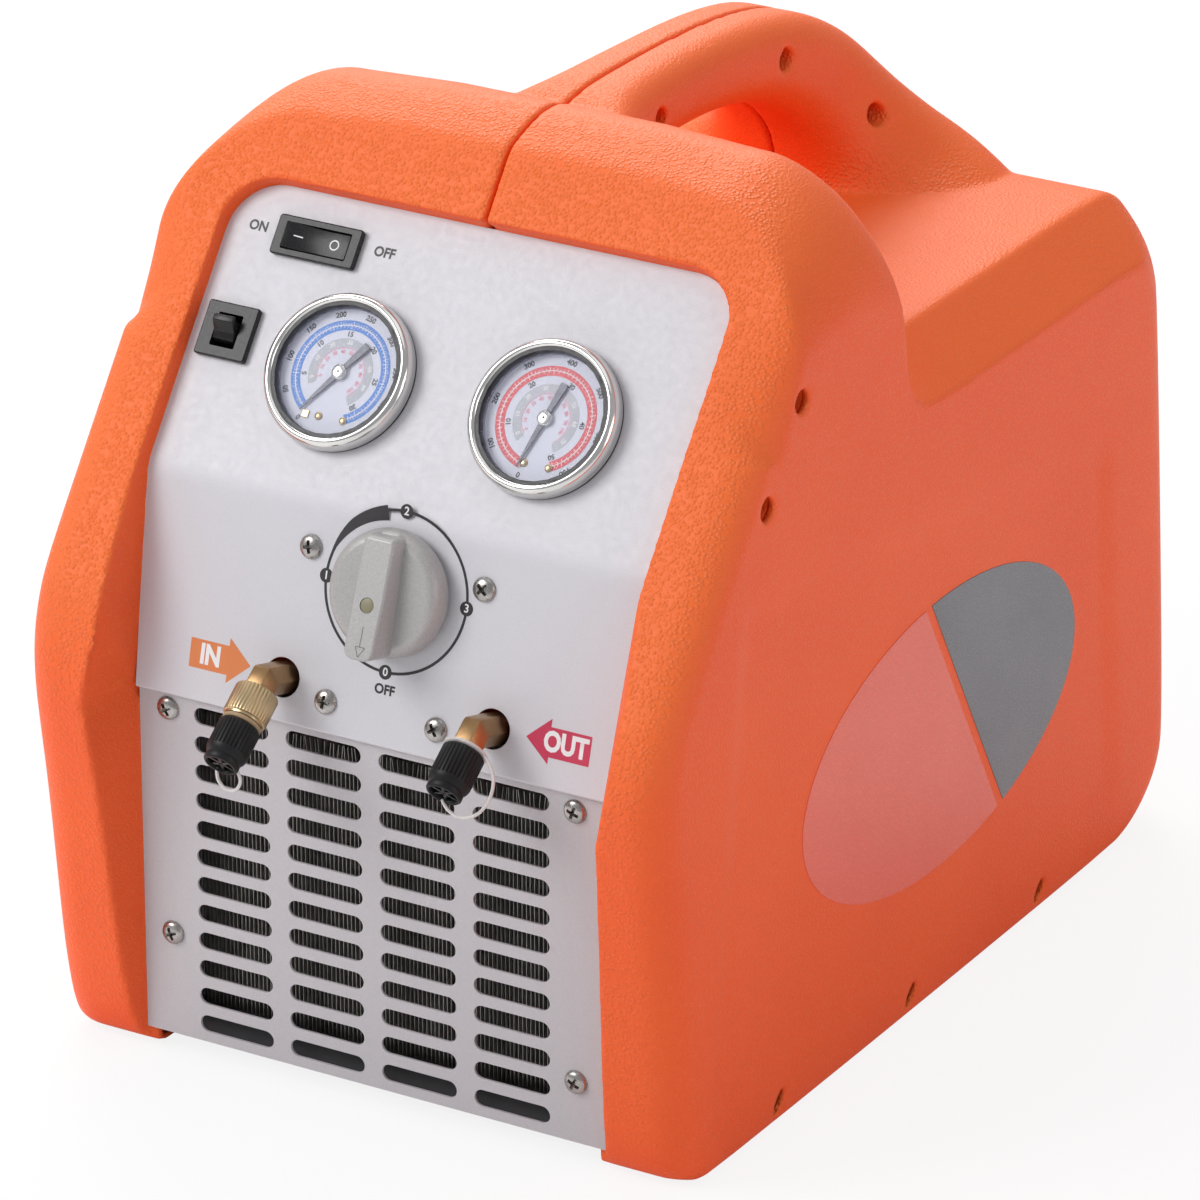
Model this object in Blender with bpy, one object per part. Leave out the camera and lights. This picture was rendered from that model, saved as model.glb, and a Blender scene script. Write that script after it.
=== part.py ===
"""Portable refrigerant recovery machine: every rigid piece in rest position.

World frame: metres, Z up, front faces -Y, floor at z = 0, mid-plane at x = 0.
Sizes below are millimetres; build_object turns them into metres.
"""

import math

import bmesh
import bpy
from mathutils import Matrix, Vector

MM = 0.001
GAP = 0.3

# Outer body
HALF_WIDTH = 125.5
FRONT_SHIFT = -159.86
WALL = 3.0
FRONT_NOSE_RADIUS = 14.0
REAR_CORNER_RADIUS = 20.0
HOOD_CORNER_RADIUS = 45.0
BOTTOM_EDGE_RADIUS = 5.0
ROOF_Z = 248.0
HOOD_TOP_Z = 326.5
CHAMFER_START_X = 105.0
MID_GAP = 0.15

# Front lean lines: lower and upper control panel sections
LOWER_LEAN = math.radians(15.6)
UPPER_LEAN = math.radians(37.0)
PANEL_BASE = (-2.2, 137.6)
LOWER_LENGTH = 76.5
UPPER_LENGTH = 103.7
SHEET = 1.2
CONTROL_HALF_WIDTH = 98.4
CONTROL_CORNER_RADIUS = 19.0
OPENING_CLEARANCE = 0.3

# Grille plate
GRILLE_HALF_WIDTH = 92.0
GRILLE_BOTTOM_Z = 8.0
GRILLE_TOP_Z = 139.6
SLOT_LENGTH = 29.6
SLOT_HEIGHT = 6.2
SLOT_ROW_PITCH = 10.56
SLOT_TOP_ROW_Z = 131.2
SLOT_COLUMN_PITCH = 36.7
SLOT_COLUMNS = 4
SLOT_ROWS = 12

# Control positions: x and length up the section they sit on
ROCKER_AT = (-61.7, 86.3)
ROCKER_BEZEL = (33.0, 14.2)
BREAKER_AT = (-84.0, 49.6)
BREAKER_BEZEL = (20.5, 18.6)
GAUGE_XS = (-36.5, 43.5)
GAUGE_LENGTH_UP = 44.0
GAUGE_RADIUS = 27.3
POINTER_RESTS = {"low": 146.0, "high": 165.5}
KNOB_AT = (3.8, 52.8)
KNOB_RADIUS = 21.9
PORT_XS = (-35.4, 46.8)
PORT_LENGTH_UP = 15.3
PORT_HOLE_RADIUS = 6.9
PORT_DROP = math.radians(36.0)
PANEL_SCREWS = ((-30.7, 61.2), (37.0, 60.6), (-17.3, 10.8), (25.9, 10.5))
GRILLE_SCREWS = ((-80.2, 131.5), (80.0, 131.0), (-80.2, 46.9), (80.2, 30.9))
SCREW_HEAD_RADIUS = 4.3
SCREW_SHANK_RADIUS = 1.9

# Inside
CHASSIS_THICKNESS = 1.5
FIN_PITCH = 2.6
FIN_THICKNESS = 0.45
FIN_COUNT = 59
CONDENSER_Y = (12.0, 34.0)
CONDENSER_Z = (20.0, 127.0)
FAN_Z = 74.0
FAN_RADIUS = 49.0
FAN_BLADES = 5

COLORS = {
    "orange_plastic": (0.86, 0.17, 0.035, 0.55, 0.0),
    "silver_sheet": (0.62, 0.62, 0.63, 0.38, 0.85),
    "steel": (0.55, 0.55, 0.55, 0.35, 1.0),
    "polished_steel": (0.75, 0.75, 0.74, 0.12, 1.0),
    "black_plastic": (0.02, 0.02, 0.022, 0.4, 0.0),
    "brass": (0.70, 0.47, 0.18, 0.3, 1.0),
    "knob_grey": (0.42, 0.42, 0.41, 0.4, 0.3),
    "white_dial": (0.85, 0.86, 0.88, 0.5, 0.0),
    "glass": (0.9, 0.93, 0.95, 0.05, 0.0),
    "clear_strap": (0.80, 0.78, 0.74, 0.35, 0.0),
    "tan_rubber": (0.45, 0.33, 0.24, 0.6, 0.0),
    "black_metal": (0.05, 0.05, 0.055, 0.45, 0.6),
    "aluminium": (0.62, 0.63, 0.64, 0.35, 1.0),
    "copper": (0.72, 0.38, 0.22, 0.3, 1.0),
    "fin_black": (0.03, 0.03, 0.033, 0.5, 0.7),
}


def clear_scene():
    for item in list(bpy.data.objects):
        bpy.data.objects.remove(item, do_unlink=True)


def make_material(node_name, key):
    red, green, blue, roughness, metallic = COLORS[key]
    material = bpy.data.materials.new(node_name + "_material")
    material.use_nodes = True
    shader = material.node_tree.nodes["Principled BSDF"]
    shader.inputs["Base Color"].default_value = (red, green, blue, 1.0)
    shader.inputs["Roughness"].default_value = roughness
    shader.inputs["Metallic"].default_value = metallic
    return material


def build_object(name, bm, key, frame=None, smooth=False, cutter=False):
    """Turn a millimetre bmesh into an object placed by a millimetre frame."""
    bmesh.ops.remove_doubles(bm, verts=bm.verts, dist=0.001)
    bmesh.ops.recalc_face_normals(bm, faces=bm.faces)
    bmesh.ops.scale(bm, vec=(MM, MM, MM), verts=bm.verts)
    mesh = bpy.data.meshes.new(name)
    bm.to_mesh(mesh)
    bm.free()
    for polygon in mesh.polygons:
        polygon.use_smooth = smooth
    if smooth:
        mesh.set_sharp_from_angle(angle=math.radians(35.0))
    item = bpy.data.objects.new(name, mesh)
    bpy.context.scene.collection.objects.link(item)
    matrix = frame.copy() if frame else Matrix.Identity(4)
    matrix.translation = matrix.translation + Vector((0.0, FRONT_SHIFT, 0.0))
    matrix.translation = matrix.translation * MM
    item.matrix_world = matrix
    if cutter:
        item.hide_render = True
        item.display_type = "WIRE"
    else:
        mesh.materials.append(make_material(name, key))
    return item


def boolean(target, cutter, operation="DIFFERENCE"):
    modifier = target.modifiers.new(cutter.name, "BOOLEAN")
    modifier.operation = operation
    modifier.solver = "EXACT"
    modifier.object = cutter


def frame_from(origin, z_axis, x_axis=(1.0, 0.0, 0.0)):
    z_axis = Vector(z_axis).normalized()
    x_axis = Vector(x_axis)
    x_axis = (x_axis - z_axis * x_axis.dot(z_axis)).normalized()
    y_axis = z_axis.cross(x_axis)
    matrix = Matrix((x_axis, y_axis, z_axis)).transposed().to_4x4()
    matrix.translation = Vector(origin)
    return matrix


# Directions along and out of the two panel sections
LOWER_UP = Vector((0.0, math.sin(LOWER_LEAN), math.cos(LOWER_LEAN)))
LOWER_OUT = Vector((0.0, -math.cos(LOWER_LEAN), math.sin(LOWER_LEAN)))
UPPER_UP = Vector((0.0, math.sin(UPPER_LEAN), math.cos(UPPER_LEAN)))
UPPER_OUT = Vector((0.0, -math.cos(UPPER_LEAN), math.sin(UPPER_LEAN)))
BASE_POINT = Vector((0.0, PANEL_BASE[0], PANEL_BASE[1]))
FOLD_POINT = BASE_POINT + LOWER_UP * LOWER_LENGTH


def lower_frame(x, length_up, out=0.0):
    origin = BASE_POINT + LOWER_UP * length_up + LOWER_OUT * out + Vector((x, 0.0, 0.0))
    return frame_from(origin, LOWER_OUT)


def upper_frame(x, length_up, out=0.0):
    origin = FOLD_POINT + UPPER_UP * length_up + UPPER_OUT * out + Vector((x, 0.0, 0.0))
    return frame_from(origin, UPPER_OUT)


def grille_frame(x, z, out=0.0):
    return frame_from((x, -out, z), (0.0, -1.0, 0.0))


def loft(rings, closed_ends=True):
    """Join rings of equal length into one closed skin."""
    bm = bmesh.new()
    rows = [[bm.verts.new(point) for point in ring] for ring in rings]
    count = len(rows[0])
    for first, second in zip(rows, rows[1:]):
        for index in range(count):
            after = (index + 1) % count
            bm.faces.new((first[index], first[after], second[after], second[index]))
    if closed_ends:
        bm.faces.new(rows[0])
        bm.faces.new(list(reversed(rows[-1])))
    return bm


def prism(outline, low, high, plane="xy"):
    """Extrude a flat outline: xy along z, yz along x, xz along y."""
    rings = []
    for level in (low, high):
        if plane == "xy":
            rings.append([(a, b, level) for a, b in outline])
        elif plane == "yz":
            rings.append([(level, a, b) for a, b in outline])
        else:
            rings.append([(a, level, b) for a, b in outline])
    return loft(rings)


def box(low, high):
    outline = [(low[0], low[1]), (high[0], low[1]), (high[0], high[1]), (low[0], high[1])]
    return prism(outline, low[2], high[2])


def circle(radius, steps, centre=(0.0, 0.0), phase=0.0):
    points = []
    for index in range(steps):
        angle = phase + 2.0 * math.pi * index / steps
        points.append((centre[0] + radius * math.cos(angle), centre[1] + radius * math.sin(angle)))
    return points


def rounded_rectangle(width, height, radius, steps=4, centre=(0.0, 0.0)):
    points = []
    corners = ((1, 1, 0.0), (-1, 1, 90.0), (-1, -1, 180.0), (1, -1, 270.0))
    for side_x, side_y, start in corners:
        corner_x = centre[0] + side_x * (width / 2.0 - radius)
        corner_y = centre[1] + side_y * (height / 2.0 - radius)
        for index in range(steps + 1):
            angle = math.radians(start + 90.0 * index / steps)
            points.append((corner_x + radius * math.cos(angle), corner_y + radius * math.sin(angle)))
    return points


def turned(profile, steps):
    """Revolve (radius, height) points about z; zero radii close the ends."""
    bm = bmesh.new()
    rows = []
    for radius, height in profile:
        if radius < 0.0005:
            rows.append([bm.verts.new((0.0, 0.0, height))])
        else:
            rows.append([bm.verts.new((x, y, height)) for x, y in circle(radius, steps)])
    closed = profile[0][0] >= 0.0005
    pairs = list(zip(rows, rows[1:]))
    if closed:
        pairs.append((rows[-1], rows[0]))
    for first, second in pairs:
        for index in range(steps):
            after = (index + 1) % steps
            if len(first) == 1 and len(second) == 1:
                continue
            if len(first) == 1:
                bm.faces.new((first[0], second[index], second[after]))
            elif len(second) == 1:
                bm.faces.new((first[index], first[after], second[0]))
            else:
                bm.faces.new((first[index], first[after], second[after], second[index]))
    return bm


def tube(points, radius, steps=8):
    """Round bar swept through points with the section kept square to the path."""
    path = [Vector(point) for point in points]
    rings = []
    side = None
    for index, point in enumerate(path):
        before = path[max(index - 1, 0)]
        after = path[min(index + 1, len(path) - 1)]
        heading = (after - before).normalized()
        if side is None:
            guess = Vector((1.0, 0.0, 0.0)) if abs(heading.x) < 0.8 else Vector((0.0, 0.0, 1.0))
            side = (guess - heading * guess.dot(heading)).normalized()
        else:
            side = (side - heading * side.dot(heading)).normalized()
        across = heading.cross(side)
        stretch = 1.0
        if 0 < index < len(path) - 1:
            turn = (path[index] - before).normalized().dot((after - path[index]).normalized())
            stretch = 1.0 / max(math.sqrt((1.0 + turn) / 2.0), 0.5)
        bend = (after - path[index]).normalized() - (path[index] - before).normalized() if stretch > 1.001 else None
        ring = []
        for x, y in circle(radius, steps):
            offset = side * x + across * y
            if bend is not None and bend.length > 0.0001:
                along_bend = bend.normalized()
                offset += along_bend * offset.dot(along_bend) * (stretch - 1.0)
            ring.append(point + offset)
        rings.append(ring)
    return loft(rings)


# Side profile of the shell, front bottom corner first, going up and round.
# Each point: y, z, front weight, hood weight, crease weight, rear weight, floor weight, roof weight
SHELL_PROFILE = (
    (9.0, 0.0, 0.4, 0, 0, 0, 1, 0),
    (1.0, 2.5, 1, 0, 0, 0, 1, 0),
    (-4.5, 9.0, 1, 0, 0, 0, 0, 0),
    (-9.5, 32.0, 1, 0, 0, 0, 0, 0),
    (-13.0, 62.0, 1, 0, 0, 0, 0, 0),
    (-17.0, 98.0, 1, 0, 0, 0, 0, 0),
    (-21.0, 124.0, 1, 0, 0, 0, 0, 0),
    (-23.0, 140.0, 1, 0, 0, 0, 0, 0),
    (-22.8, 154.0, 1, 0, 0, 0, 0, 0),
    (-20.0, 166.0, 1, 0, 0, 0, 0, 0),
    (-14.7, 178.0, 1, 0, 0, 0, 0, 0),
    (7.7, 208.0, 1, 0, 0, 0, 0, 0),
    (87.3, 313.5, 1, 1, 1, 0, 0, 0),
    (91.8, 318.5, 1, 1, 1, 0, 0, 0),
    (97.5, 322.5, 0.8, 1, 0.9, 0, 0, 0),
    (108.0, 326.0, 0.5, 1, 0.6, 0, 0, 0),
    (119.0, 326.5, 0.2, 1, 0.35, 0, 0, 0),
    (130.0, 323.5, 0, 1, 0.12, 0, 0, 0),
    (137.0, 316.0, 0, 1, 0, 0, 0, 0),
    (141.0, 300.0, 0, 1, 0, 0, 0, 0),
    (143.0, 278.0, 0, 1, 0, 0, 0, 0),
    (146.0, 262.0, 0, 1, 0, 0, 0, 0),
    (152.0, 252.5, 0, 1, 0, 0, 0, 1),
    (163.0, 248.0, 0, 0, 0, 0, 0, 1),
    (240.0, 248.0, 0, 0, 0, 0, 0, 1),
    (322.0, 248.0, 0, 0, 0, 0.3, 0, 1),
    (336.0, 243.5, 0, 0, 0, 0.8, 0, 1),
    (342.5, 235.0, 0, 0, 0, 1, 0, 1),
    (345.0, 222.0, 0, 0, 0, 1, 0, 0.7),
    (352.5, 130.0, 0, 0, 0, 1, 0, 0),
    (360.0, 36.0, 0, 0, 0, 1, 0, 0),
    (357.5, 22.0, 0, 0, 0, 1, 0, 0),
    (348.0, 11.0, 0, 0, 0, 1, 0.4, 0),
    (330.0, 3.5, 0, 0, 0, 0.6, 0.8, 0),
    (308.0, 0.0, 0, 0, 0, 0.2, 1, 0),
)

# Inner hollow behind the panel seats, same order and weights
HOLLOW_PROFILE = (
    (4.8, 3.0, 0, 0, 0, 0, 1, 0),
    (4.8, 130.0, 0, 0, 0, 0, 0, 0),
    (5.2, 142.5, 0, 0, 0, 0, 0, 0),
    (22.9, 209.0, 0, 0, 0, 0, 0, 0),
    (84.9, 291.3, 0, 1, 1, 0, 0, 0),
    (99.0, 310.0, 0, 1, 1, 0, 0, 0),
    (108.0, 321.0, 0, 1, 0.6, 0, 0, 0),
    (122.0, 322.0, 0, 1, 0.3, 0, 0, 0),
    (133.0, 314.0, 0, 1, 0, 0, 0, 0),
    (138.0, 299.0, 0, 1, 0, 0, 0, 0),
    (142.0, 266.0, 0, 1, 0, 0, 0, 0),
    (150.0, 248.0, 0, 1, 0, 0, 0, 1),
    (162.0, 245.0, 0, 0, 0, 0, 0, 1),
    (322.0, 245.0, 0, 0, 0, 0.4, 0, 1),
    (336.0, 239.0, 0, 0, 0, 1, 0, 1),
    (342.0, 222.0, 0, 0, 0, 1, 0, 0.7),
    (357.0, 36.0, 0, 0, 0, 1, 0, 0),
    (352.0, 20.0, 0, 0, 0, 1, 0, 0),
    (330.0, 7.0, 0, 0, 0, 0.6, 0, 0),
    (308.0, 3.0, 0, 0, 0, 0.2, 1, 0),
)

OUTER_STATIONS = (-6.0, 60.0, 80.5, 92.0, 100.0, 105.5, 111.5, 116.0, 119.5, 122.0, 124.0, 125.2, 125.5)
HOLLOW_STATIONS = (-8.0, 80.5, 95.0, 105.0, 112.5, 117.0, 120.0, 121.8, 122.5)


def corner_drop(x, half_width, radius):
    reach = min(max(x - (half_width - radius), 0.0), radius)
    return radius - math.sqrt(max(radius * radius - reach * reach, 0.0))


def shell_ring(profile, x, half_width, shrink=0.0):
    """One y-z outline of the shell at distance x from the mid-plane."""
    nose = corner_drop(x, half_width, FRONT_NOSE_RADIUS)
    rear = corner_drop(x, half_width, REAR_CORNER_RADIUS - shrink)
    hood = corner_drop(x, half_width, HOOD_CORNER_RADIUS - shrink)
    floor = corner_drop(x, half_width, BOTTOM_EDGE_RADIUS)
    chamfer = max(x - CHAMFER_START_X, 0.0)
    tall = HOOD_TOP_Z - ROOF_Z
    roof_level = ROOF_Z - chamfer
    ring = []
    for y, z, front_w, hood_w, crease_w, rear_w, floor_w, roof_w in profile:
        new_z = z
        if hood_w:
            share = (z - ROOF_Z) / tall
            new_z = roof_level + share * (tall - hood + chamfer)
        elif roof_w:
            new_z = z - chamfer * roof_w
        new_y = y - crease_w * (z - new_z) * math.tan(UPPER_LEAN)
        new_y += front_w * nose - rear_w * rear
        ring.append((x, new_y, new_z + floor_w * floor))
    return ring


# Handle path: y, z of the middle, half width, half height, heading in degrees
HANDLE_STATIONS = (
    (96.0, 288.0, 60.0, 20.0, 0.0),
    (112.0, 297.0, 46.0, 20.0, 0.0),
    (126.0, 305.5, 32.0, 17.0, 0.0),
    (138.0, 310.0, 25.0, 15.0, 0.0),
    (154.0, 312.0, 21.0, 14.0, 0.0),
    (185.0, 312.0, 19.5, 13.5, -1.0),
    (216.0, 310.0, 19.5, 14.0, -3.0),
    (242.0, 305.5, 20.5, 15.5, -9.0),
    (263.0, 298.0, 22.5, 18.0, -22.0),
    (281.0, 286.0, 26.0, 21.0, -38.0),
    (294.0, 270.0, 34.0, 25.0, -54.0),
    (301.0, 256.0, 48.0, 30.0, -66.0),
    (304.0, 247.5, 64.0, 35.0, -78.0),
    (304.0, 240.0, 80.0, 39.0, -90.0),
)
HANDLE_STEPS = 5


def handle_body(side):
    rings = []
    for y, z, half_width, half_height, heading in HANDLE_STATIONS:
        angle = math.radians(heading)
        up = Vector((0.0, -math.sin(angle), math.cos(angle)))
        centre = Vector((0.0, y, z))
        radius = min(half_height * 0.86, half_width * 0.6)
        points = [(-6.0, half_height)]
        for index in range(HANDLE_STEPS + 1):
            turn = math.radians(90.0 - 90.0 * index / HANDLE_STEPS)
            points.append((half_width - radius + radius * math.cos(turn),
                           half_height - radius + radius * math.sin(turn)))
        for index in range(HANDLE_STEPS + 1):
            turn = math.radians(-90.0 * index / HANDLE_STEPS)
            points.append((half_width - radius + radius * math.cos(turn),
                           -half_height + radius + radius * math.sin(turn)))
        points.append((-6.0, -half_height))
        rings.append([centre + up * height + Vector((side * across, 0.0, 0.0))
                      for across, height in points])
    return loft(rings)


def section_line(offset, lower_start=0.0, upper_end=UPPER_LENGTH):
    """The two-section panel line in y and z, moved out of its face by offset."""
    start = BASE_POINT + LOWER_UP * lower_start + LOWER_OUT * offset
    half_turn = (UPPER_LEAN - LOWER_LEAN) / 2.0
    middle_out = (LOWER_OUT + UPPER_OUT).normalized()
    fold = FOLD_POINT + middle_out * (offset / math.cos(half_turn))
    end = FOLD_POINT + UPPER_UP * upper_end + UPPER_OUT * offset
    return [(start.y, start.z), (fold.y, fold.z), (end.y, end.z)]


def front_cutters():
    """Shapes that open the front of both shells and seat the two plates."""
    seat = -(SHEET + GAP)
    rings = []
    for y, half in ((-seat, 92.3), (0.0, 92.3), (-20.0, 99.5), (-60.0, 113.9)):
        rings.append([(-half, y, -5.0), (half, y, -5.0), (half, y, GRILLE_TOP_Z + 0.4), (-half, y, GRILLE_TOP_Z + 0.4)])
    grille_seat = build_object("cut_grille_seat", loft(rings), "", cutter=True)

    half = CONTROL_HALF_WIDTH + OPENING_CLEARANCE
    back = section_line(seat, lower_start=-2.5, upper_end=60.0)
    outer = FOLD_POINT + UPPER_UP * 60.0 + UPPER_OUT * 60.0
    outline = back + [(outer.y, outer.z), (-60.0, 210.0), (-60.0, 134.0), (back[0][0], 134.0 - 1.5)]
    lower_seat = build_object("cut_lower_seat", prism(outline, -half, half, "yz"), "", cutter=True)

    top = UPPER_LENGTH + OPENING_CLEARANCE
    bottom = 8.0
    outline = rounded_rectangle(2.0 * half, top - bottom + 40.0, CONTROL_CORNER_RADIUS, 6,
                                (0.0, (top + bottom - 40.0) / 2.0))
    outline = [(x, max(y, bottom)) for x, y in outline]
    cleaned = []
    for point in outline:
        if not cleaned or (Vector(point) - Vector(cleaned[-1])).length > 0.01:
            cleaned.append(point)
    upper_seat = build_object("cut_upper_seat", prism(cleaned, seat, 60.0), "", upper_frame(0.0, 0.0), cutter=True)

    outline = [(-40.0, -5.0), (22.0, -5.0), (22.0, 134.0), (-40.0, 134.0)]
    low_through = build_object("cut_front_low", prism(outline, -88.0, 88.0, "yz"), "", cutter=True)
    far = section_line(-14.0, lower_start=-4.0, upper_end=97.0)
    near = section_line(10.0, lower_start=-4.0, upper_end=97.0)
    outline = far + list(reversed(near))
    high_through = build_object("cut_front_high", prism(outline, -92.6, 92.6, "yz"), "", cutter=True)

    outline = rounded_rectangle(176.0, 160.0, 8.0, 3, (0.0, 124.0))
    rear = build_object("cut_rear_opening", prism(outline, 325.0, 400.0, "xz"), "", cutter=True)
    return [grille_seat, lower_seat, upper_seat, low_through, high_through, rear]


SIDE_HOLES = ((69.9, 261.5), (47.2, 231.3))
HANDLE_HOLES = ((159.0, 311.5), (246.0, 306.0), (292.0, 273.0))


def make_shells(cutters):
    shells = []
    for side, name in ((-1.0, "left_shell"), (1.0, "right_shell")):
        rings = [[(side * x, y, z) for x, y, z in shell_ring(SHELL_PROFILE, station, HALF_WIDTH)]
                 for station in OUTER_STATIONS]
        shell = build_object(name, loft(rings), "orange_plastic", smooth=True)
        handle = build_object("add_handle_" + name, handle_body(side), "", cutter=True, smooth=True)
        rings = [[(side * x, y, z) for x, y, z in shell_ring(HOLLOW_PROFILE, station, HALF_WIDTH - WALL, WALL)]
                 for station in HOLLOW_STATIONS]
        hollow = build_object("cut_hollow_" + name, loft(rings), "", cutter=True)
        middle = build_object("cut_middle_" + name,
                              box((-side * 30.0 if side > 0 else MID_GAP * side, -80.0, -20.0),
                                  (MID_GAP * side if side > 0 else 30.0, 420.0, 400.0)), "", cutter=True)
        boolean(shell, handle, "UNION")
        boolean(shell, hollow)
        for cutter in cutters:
            boolean(shell, cutter)
        for index, (y, z) in enumerate(SIDE_HOLES):
            low, high = sorted((side * 112.0, side * 140.0))
            hole = build_object("cut_side_hole_%s_%d" % (name, index), prism(circle(4.2, 12, (y, z)), low, high, "yz"),
                                "", cutter=True)
            boolean(shell, hole)
        for index, (y, z) in enumerate(HANDLE_HOLES):
            low, high = sorted((side * 8.0, side * 70.0))
            hole = build_object("cut_handle_hole_%s_%d" % (name, index), prism(circle(4.0, 12, (y, z)), low, high, "yz"),
                                "", cutter=True)
            boolean(shell, hole)
        boolean(shell, middle)
        shells.append(shell)
    return shells


def bent_sheet():
    """Control sheet skin: a lower plate folded into a round-cornered upper one."""
    half = CONTROL_HALF_WIDTH
    corner = CONTROL_CORNER_RADIUS
    lower_front, fold_front, _ = section_line(0.0)
    lower_back, fold_back, _ = section_line(-SHEET)
    outline = []
    for side in (1.0, -1.0):
        arc = []
        for index in range(7):
            angle = math.radians(90.0 * index / 6.0)
            arc.append((side * (half - corner + corner * math.cos(angle)),
                        UPPER_LENGTH - corner + corner * math.sin(angle)))
        outline += arc if side > 0 else list(reversed(arc))
    bm = bmesh.new()
    skins = []
    for offset, low, fold in ((0.0, lower_front, fold_front), (-SHEET, lower_back, fold_back)):
        origin = FOLD_POINT + UPPER_OUT * offset
        ring = [bm.verts.new((-half, low[0], low[1])), bm.verts.new((half, low[0], low[1])),
                bm.verts.new((half, fold[0], fold[1]))]
        for x, length_up in outline:
            point = origin + UPPER_UP * length_up
            ring.append(bm.verts.new((x, point.y, point.z)))
        ring.append(bm.verts.new((-half, fold[0], fold[1])))
        skins.append(ring)
    for ring in skins:
        bm.faces.new((ring[0], ring[1], ring[2], ring[-1]))
        bm.faces.new(ring[2:])
    count = len(skins[0])
    for index in range(count):
        after = (index + 1) % count
        bm.faces.new((skins[0][index], skins[0][after], skins[1][after], skins[1][index]))
    return bm


def make_control_panel():
    panel = build_object("control_panel", bent_sheet(), "silver_sheet")
    cuts = [(upper_frame(*ROCKER_AT), rounded_rectangle(28.0, 11.0, 0.5, 1)),
            (upper_frame(*BREAKER_AT), rounded_rectangle(15.0, 13.0, 0.5, 1)),
            (lower_frame(*KNOB_AT), circle(5.6, 16))]
    cuts += [(upper_frame(x, GAUGE_LENGTH_UP), circle(24.8, 32)) for x in GAUGE_XS]
    cuts += [(lower_frame(x, PORT_LENGTH_UP), circle(PORT_HOLE_RADIUS, 20)) for x in PORT_XS]
    cuts += [(lower_frame(*at), circle(SCREW_SHANK_RADIUS + GAP, 8)) for at in PANEL_SCREWS]
    for index, (frame, outline) in enumerate(cuts):
        cutter = build_object("cut_panel_%d" % index, prism(outline, -4.0, 4.0), "", frame, cutter=True)
        boolean(panel, cutter)
    return panel


def slot_outline(centre):
    points = []
    reach = SLOT_LENGTH / 2.0 - SLOT_HEIGHT / 2.0
    for side, start in ((1.0, -90.0), (-1.0, 90.0)):
        for index in range(4):
            angle = math.radians(start + 180.0 * index / 3.0)
            points.append((centre[0] + side * reach + SLOT_HEIGHT / 2.0 * math.cos(angle),
                           centre[1] + SLOT_HEIGHT / 2.0 * math.sin(angle)))
    return points


def joined(parts):
    """Several closed pieces in one bmesh, used only for cutters."""
    bm = bmesh.new()
    for part in parts:
        mesh = bpy.data.meshes.new("temp")
        part.to_mesh(mesh)
        part.free()
        bm.from_mesh(mesh)
        bpy.data.meshes.remove(mesh)
    return bm


def make_grille():
    outline = [(-GRILLE_HALF_WIDTH, GRILLE_BOTTOM_Z), (GRILLE_HALF_WIDTH, GRILLE_BOTTOM_Z),
               (GRILLE_HALF_WIDTH, GRILLE_TOP_Z), (-GRILLE_HALF_WIDTH, GRILLE_TOP_Z)]
    grille = build_object("grille_panel", prism(outline, 0.0, SHEET, "xz"), "silver_sheet")
    parts = []
    for column in range(SLOT_COLUMNS):
        x = (column - (SLOT_COLUMNS - 1) / 2.0) * SLOT_COLUMN_PITCH
        for row in range(SLOT_ROWS):
            z = SLOT_TOP_ROW_Z - row * SLOT_ROW_PITCH
            parts.append(prism(slot_outline((x, z)), -2.0, SHEET + 2.0, "xz"))
    for x, z in GRILLE_SCREWS:
        parts.append(prism(circle(SCREW_SHANK_RADIUS + GAP, 8, (x, z)), -2.0, SHEET + 2.0, "xz"))
    cutter = build_object("cut_grille_slots", joined(parts), "", cutter=True)
    boolean(grille, cutter)
    return grille


def make_screws():
    head = [(0.0, 2.3), (2.2, 2.1), (3.6, 1.4), (SCREW_HEAD_RADIUS, 0.0),
            (SCREW_SHANK_RADIUS, 0.0), (SCREW_SHANK_RADIUS, -7.0), (0.0, -7.0)]
    for index, at in enumerate(PANEL_SCREWS):
        build_object("panel_screw_%d" % (index + 1), turned(head, 10), "polished_steel",
                     lower_frame(at[0], at[1], 0.05), smooth=True)
    for index, (x, z) in enumerate(GRILLE_SCREWS):
        build_object("grille_screw_%d" % (index + 1), turned(head, 10), "polished_steel",
                     grille_frame(x, z, 0.05), smooth=True)


def make_handle_screws():
    shape = [(0.0, 2.0), (2.4, 1.7), (3.4, 0.0), (0.0, 0.0)]
    for index, (y, z) in enumerate(HANDLE_HOLES[:2]):
        build_object("handle_screw_%d" % (index + 1), turned(shape, 10), "polished_steel",
                     frame_from((8.05, y, z), (1.0, 0.0, 0.0), (0.0, 1.0, 0.0)), smooth=True)


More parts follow.
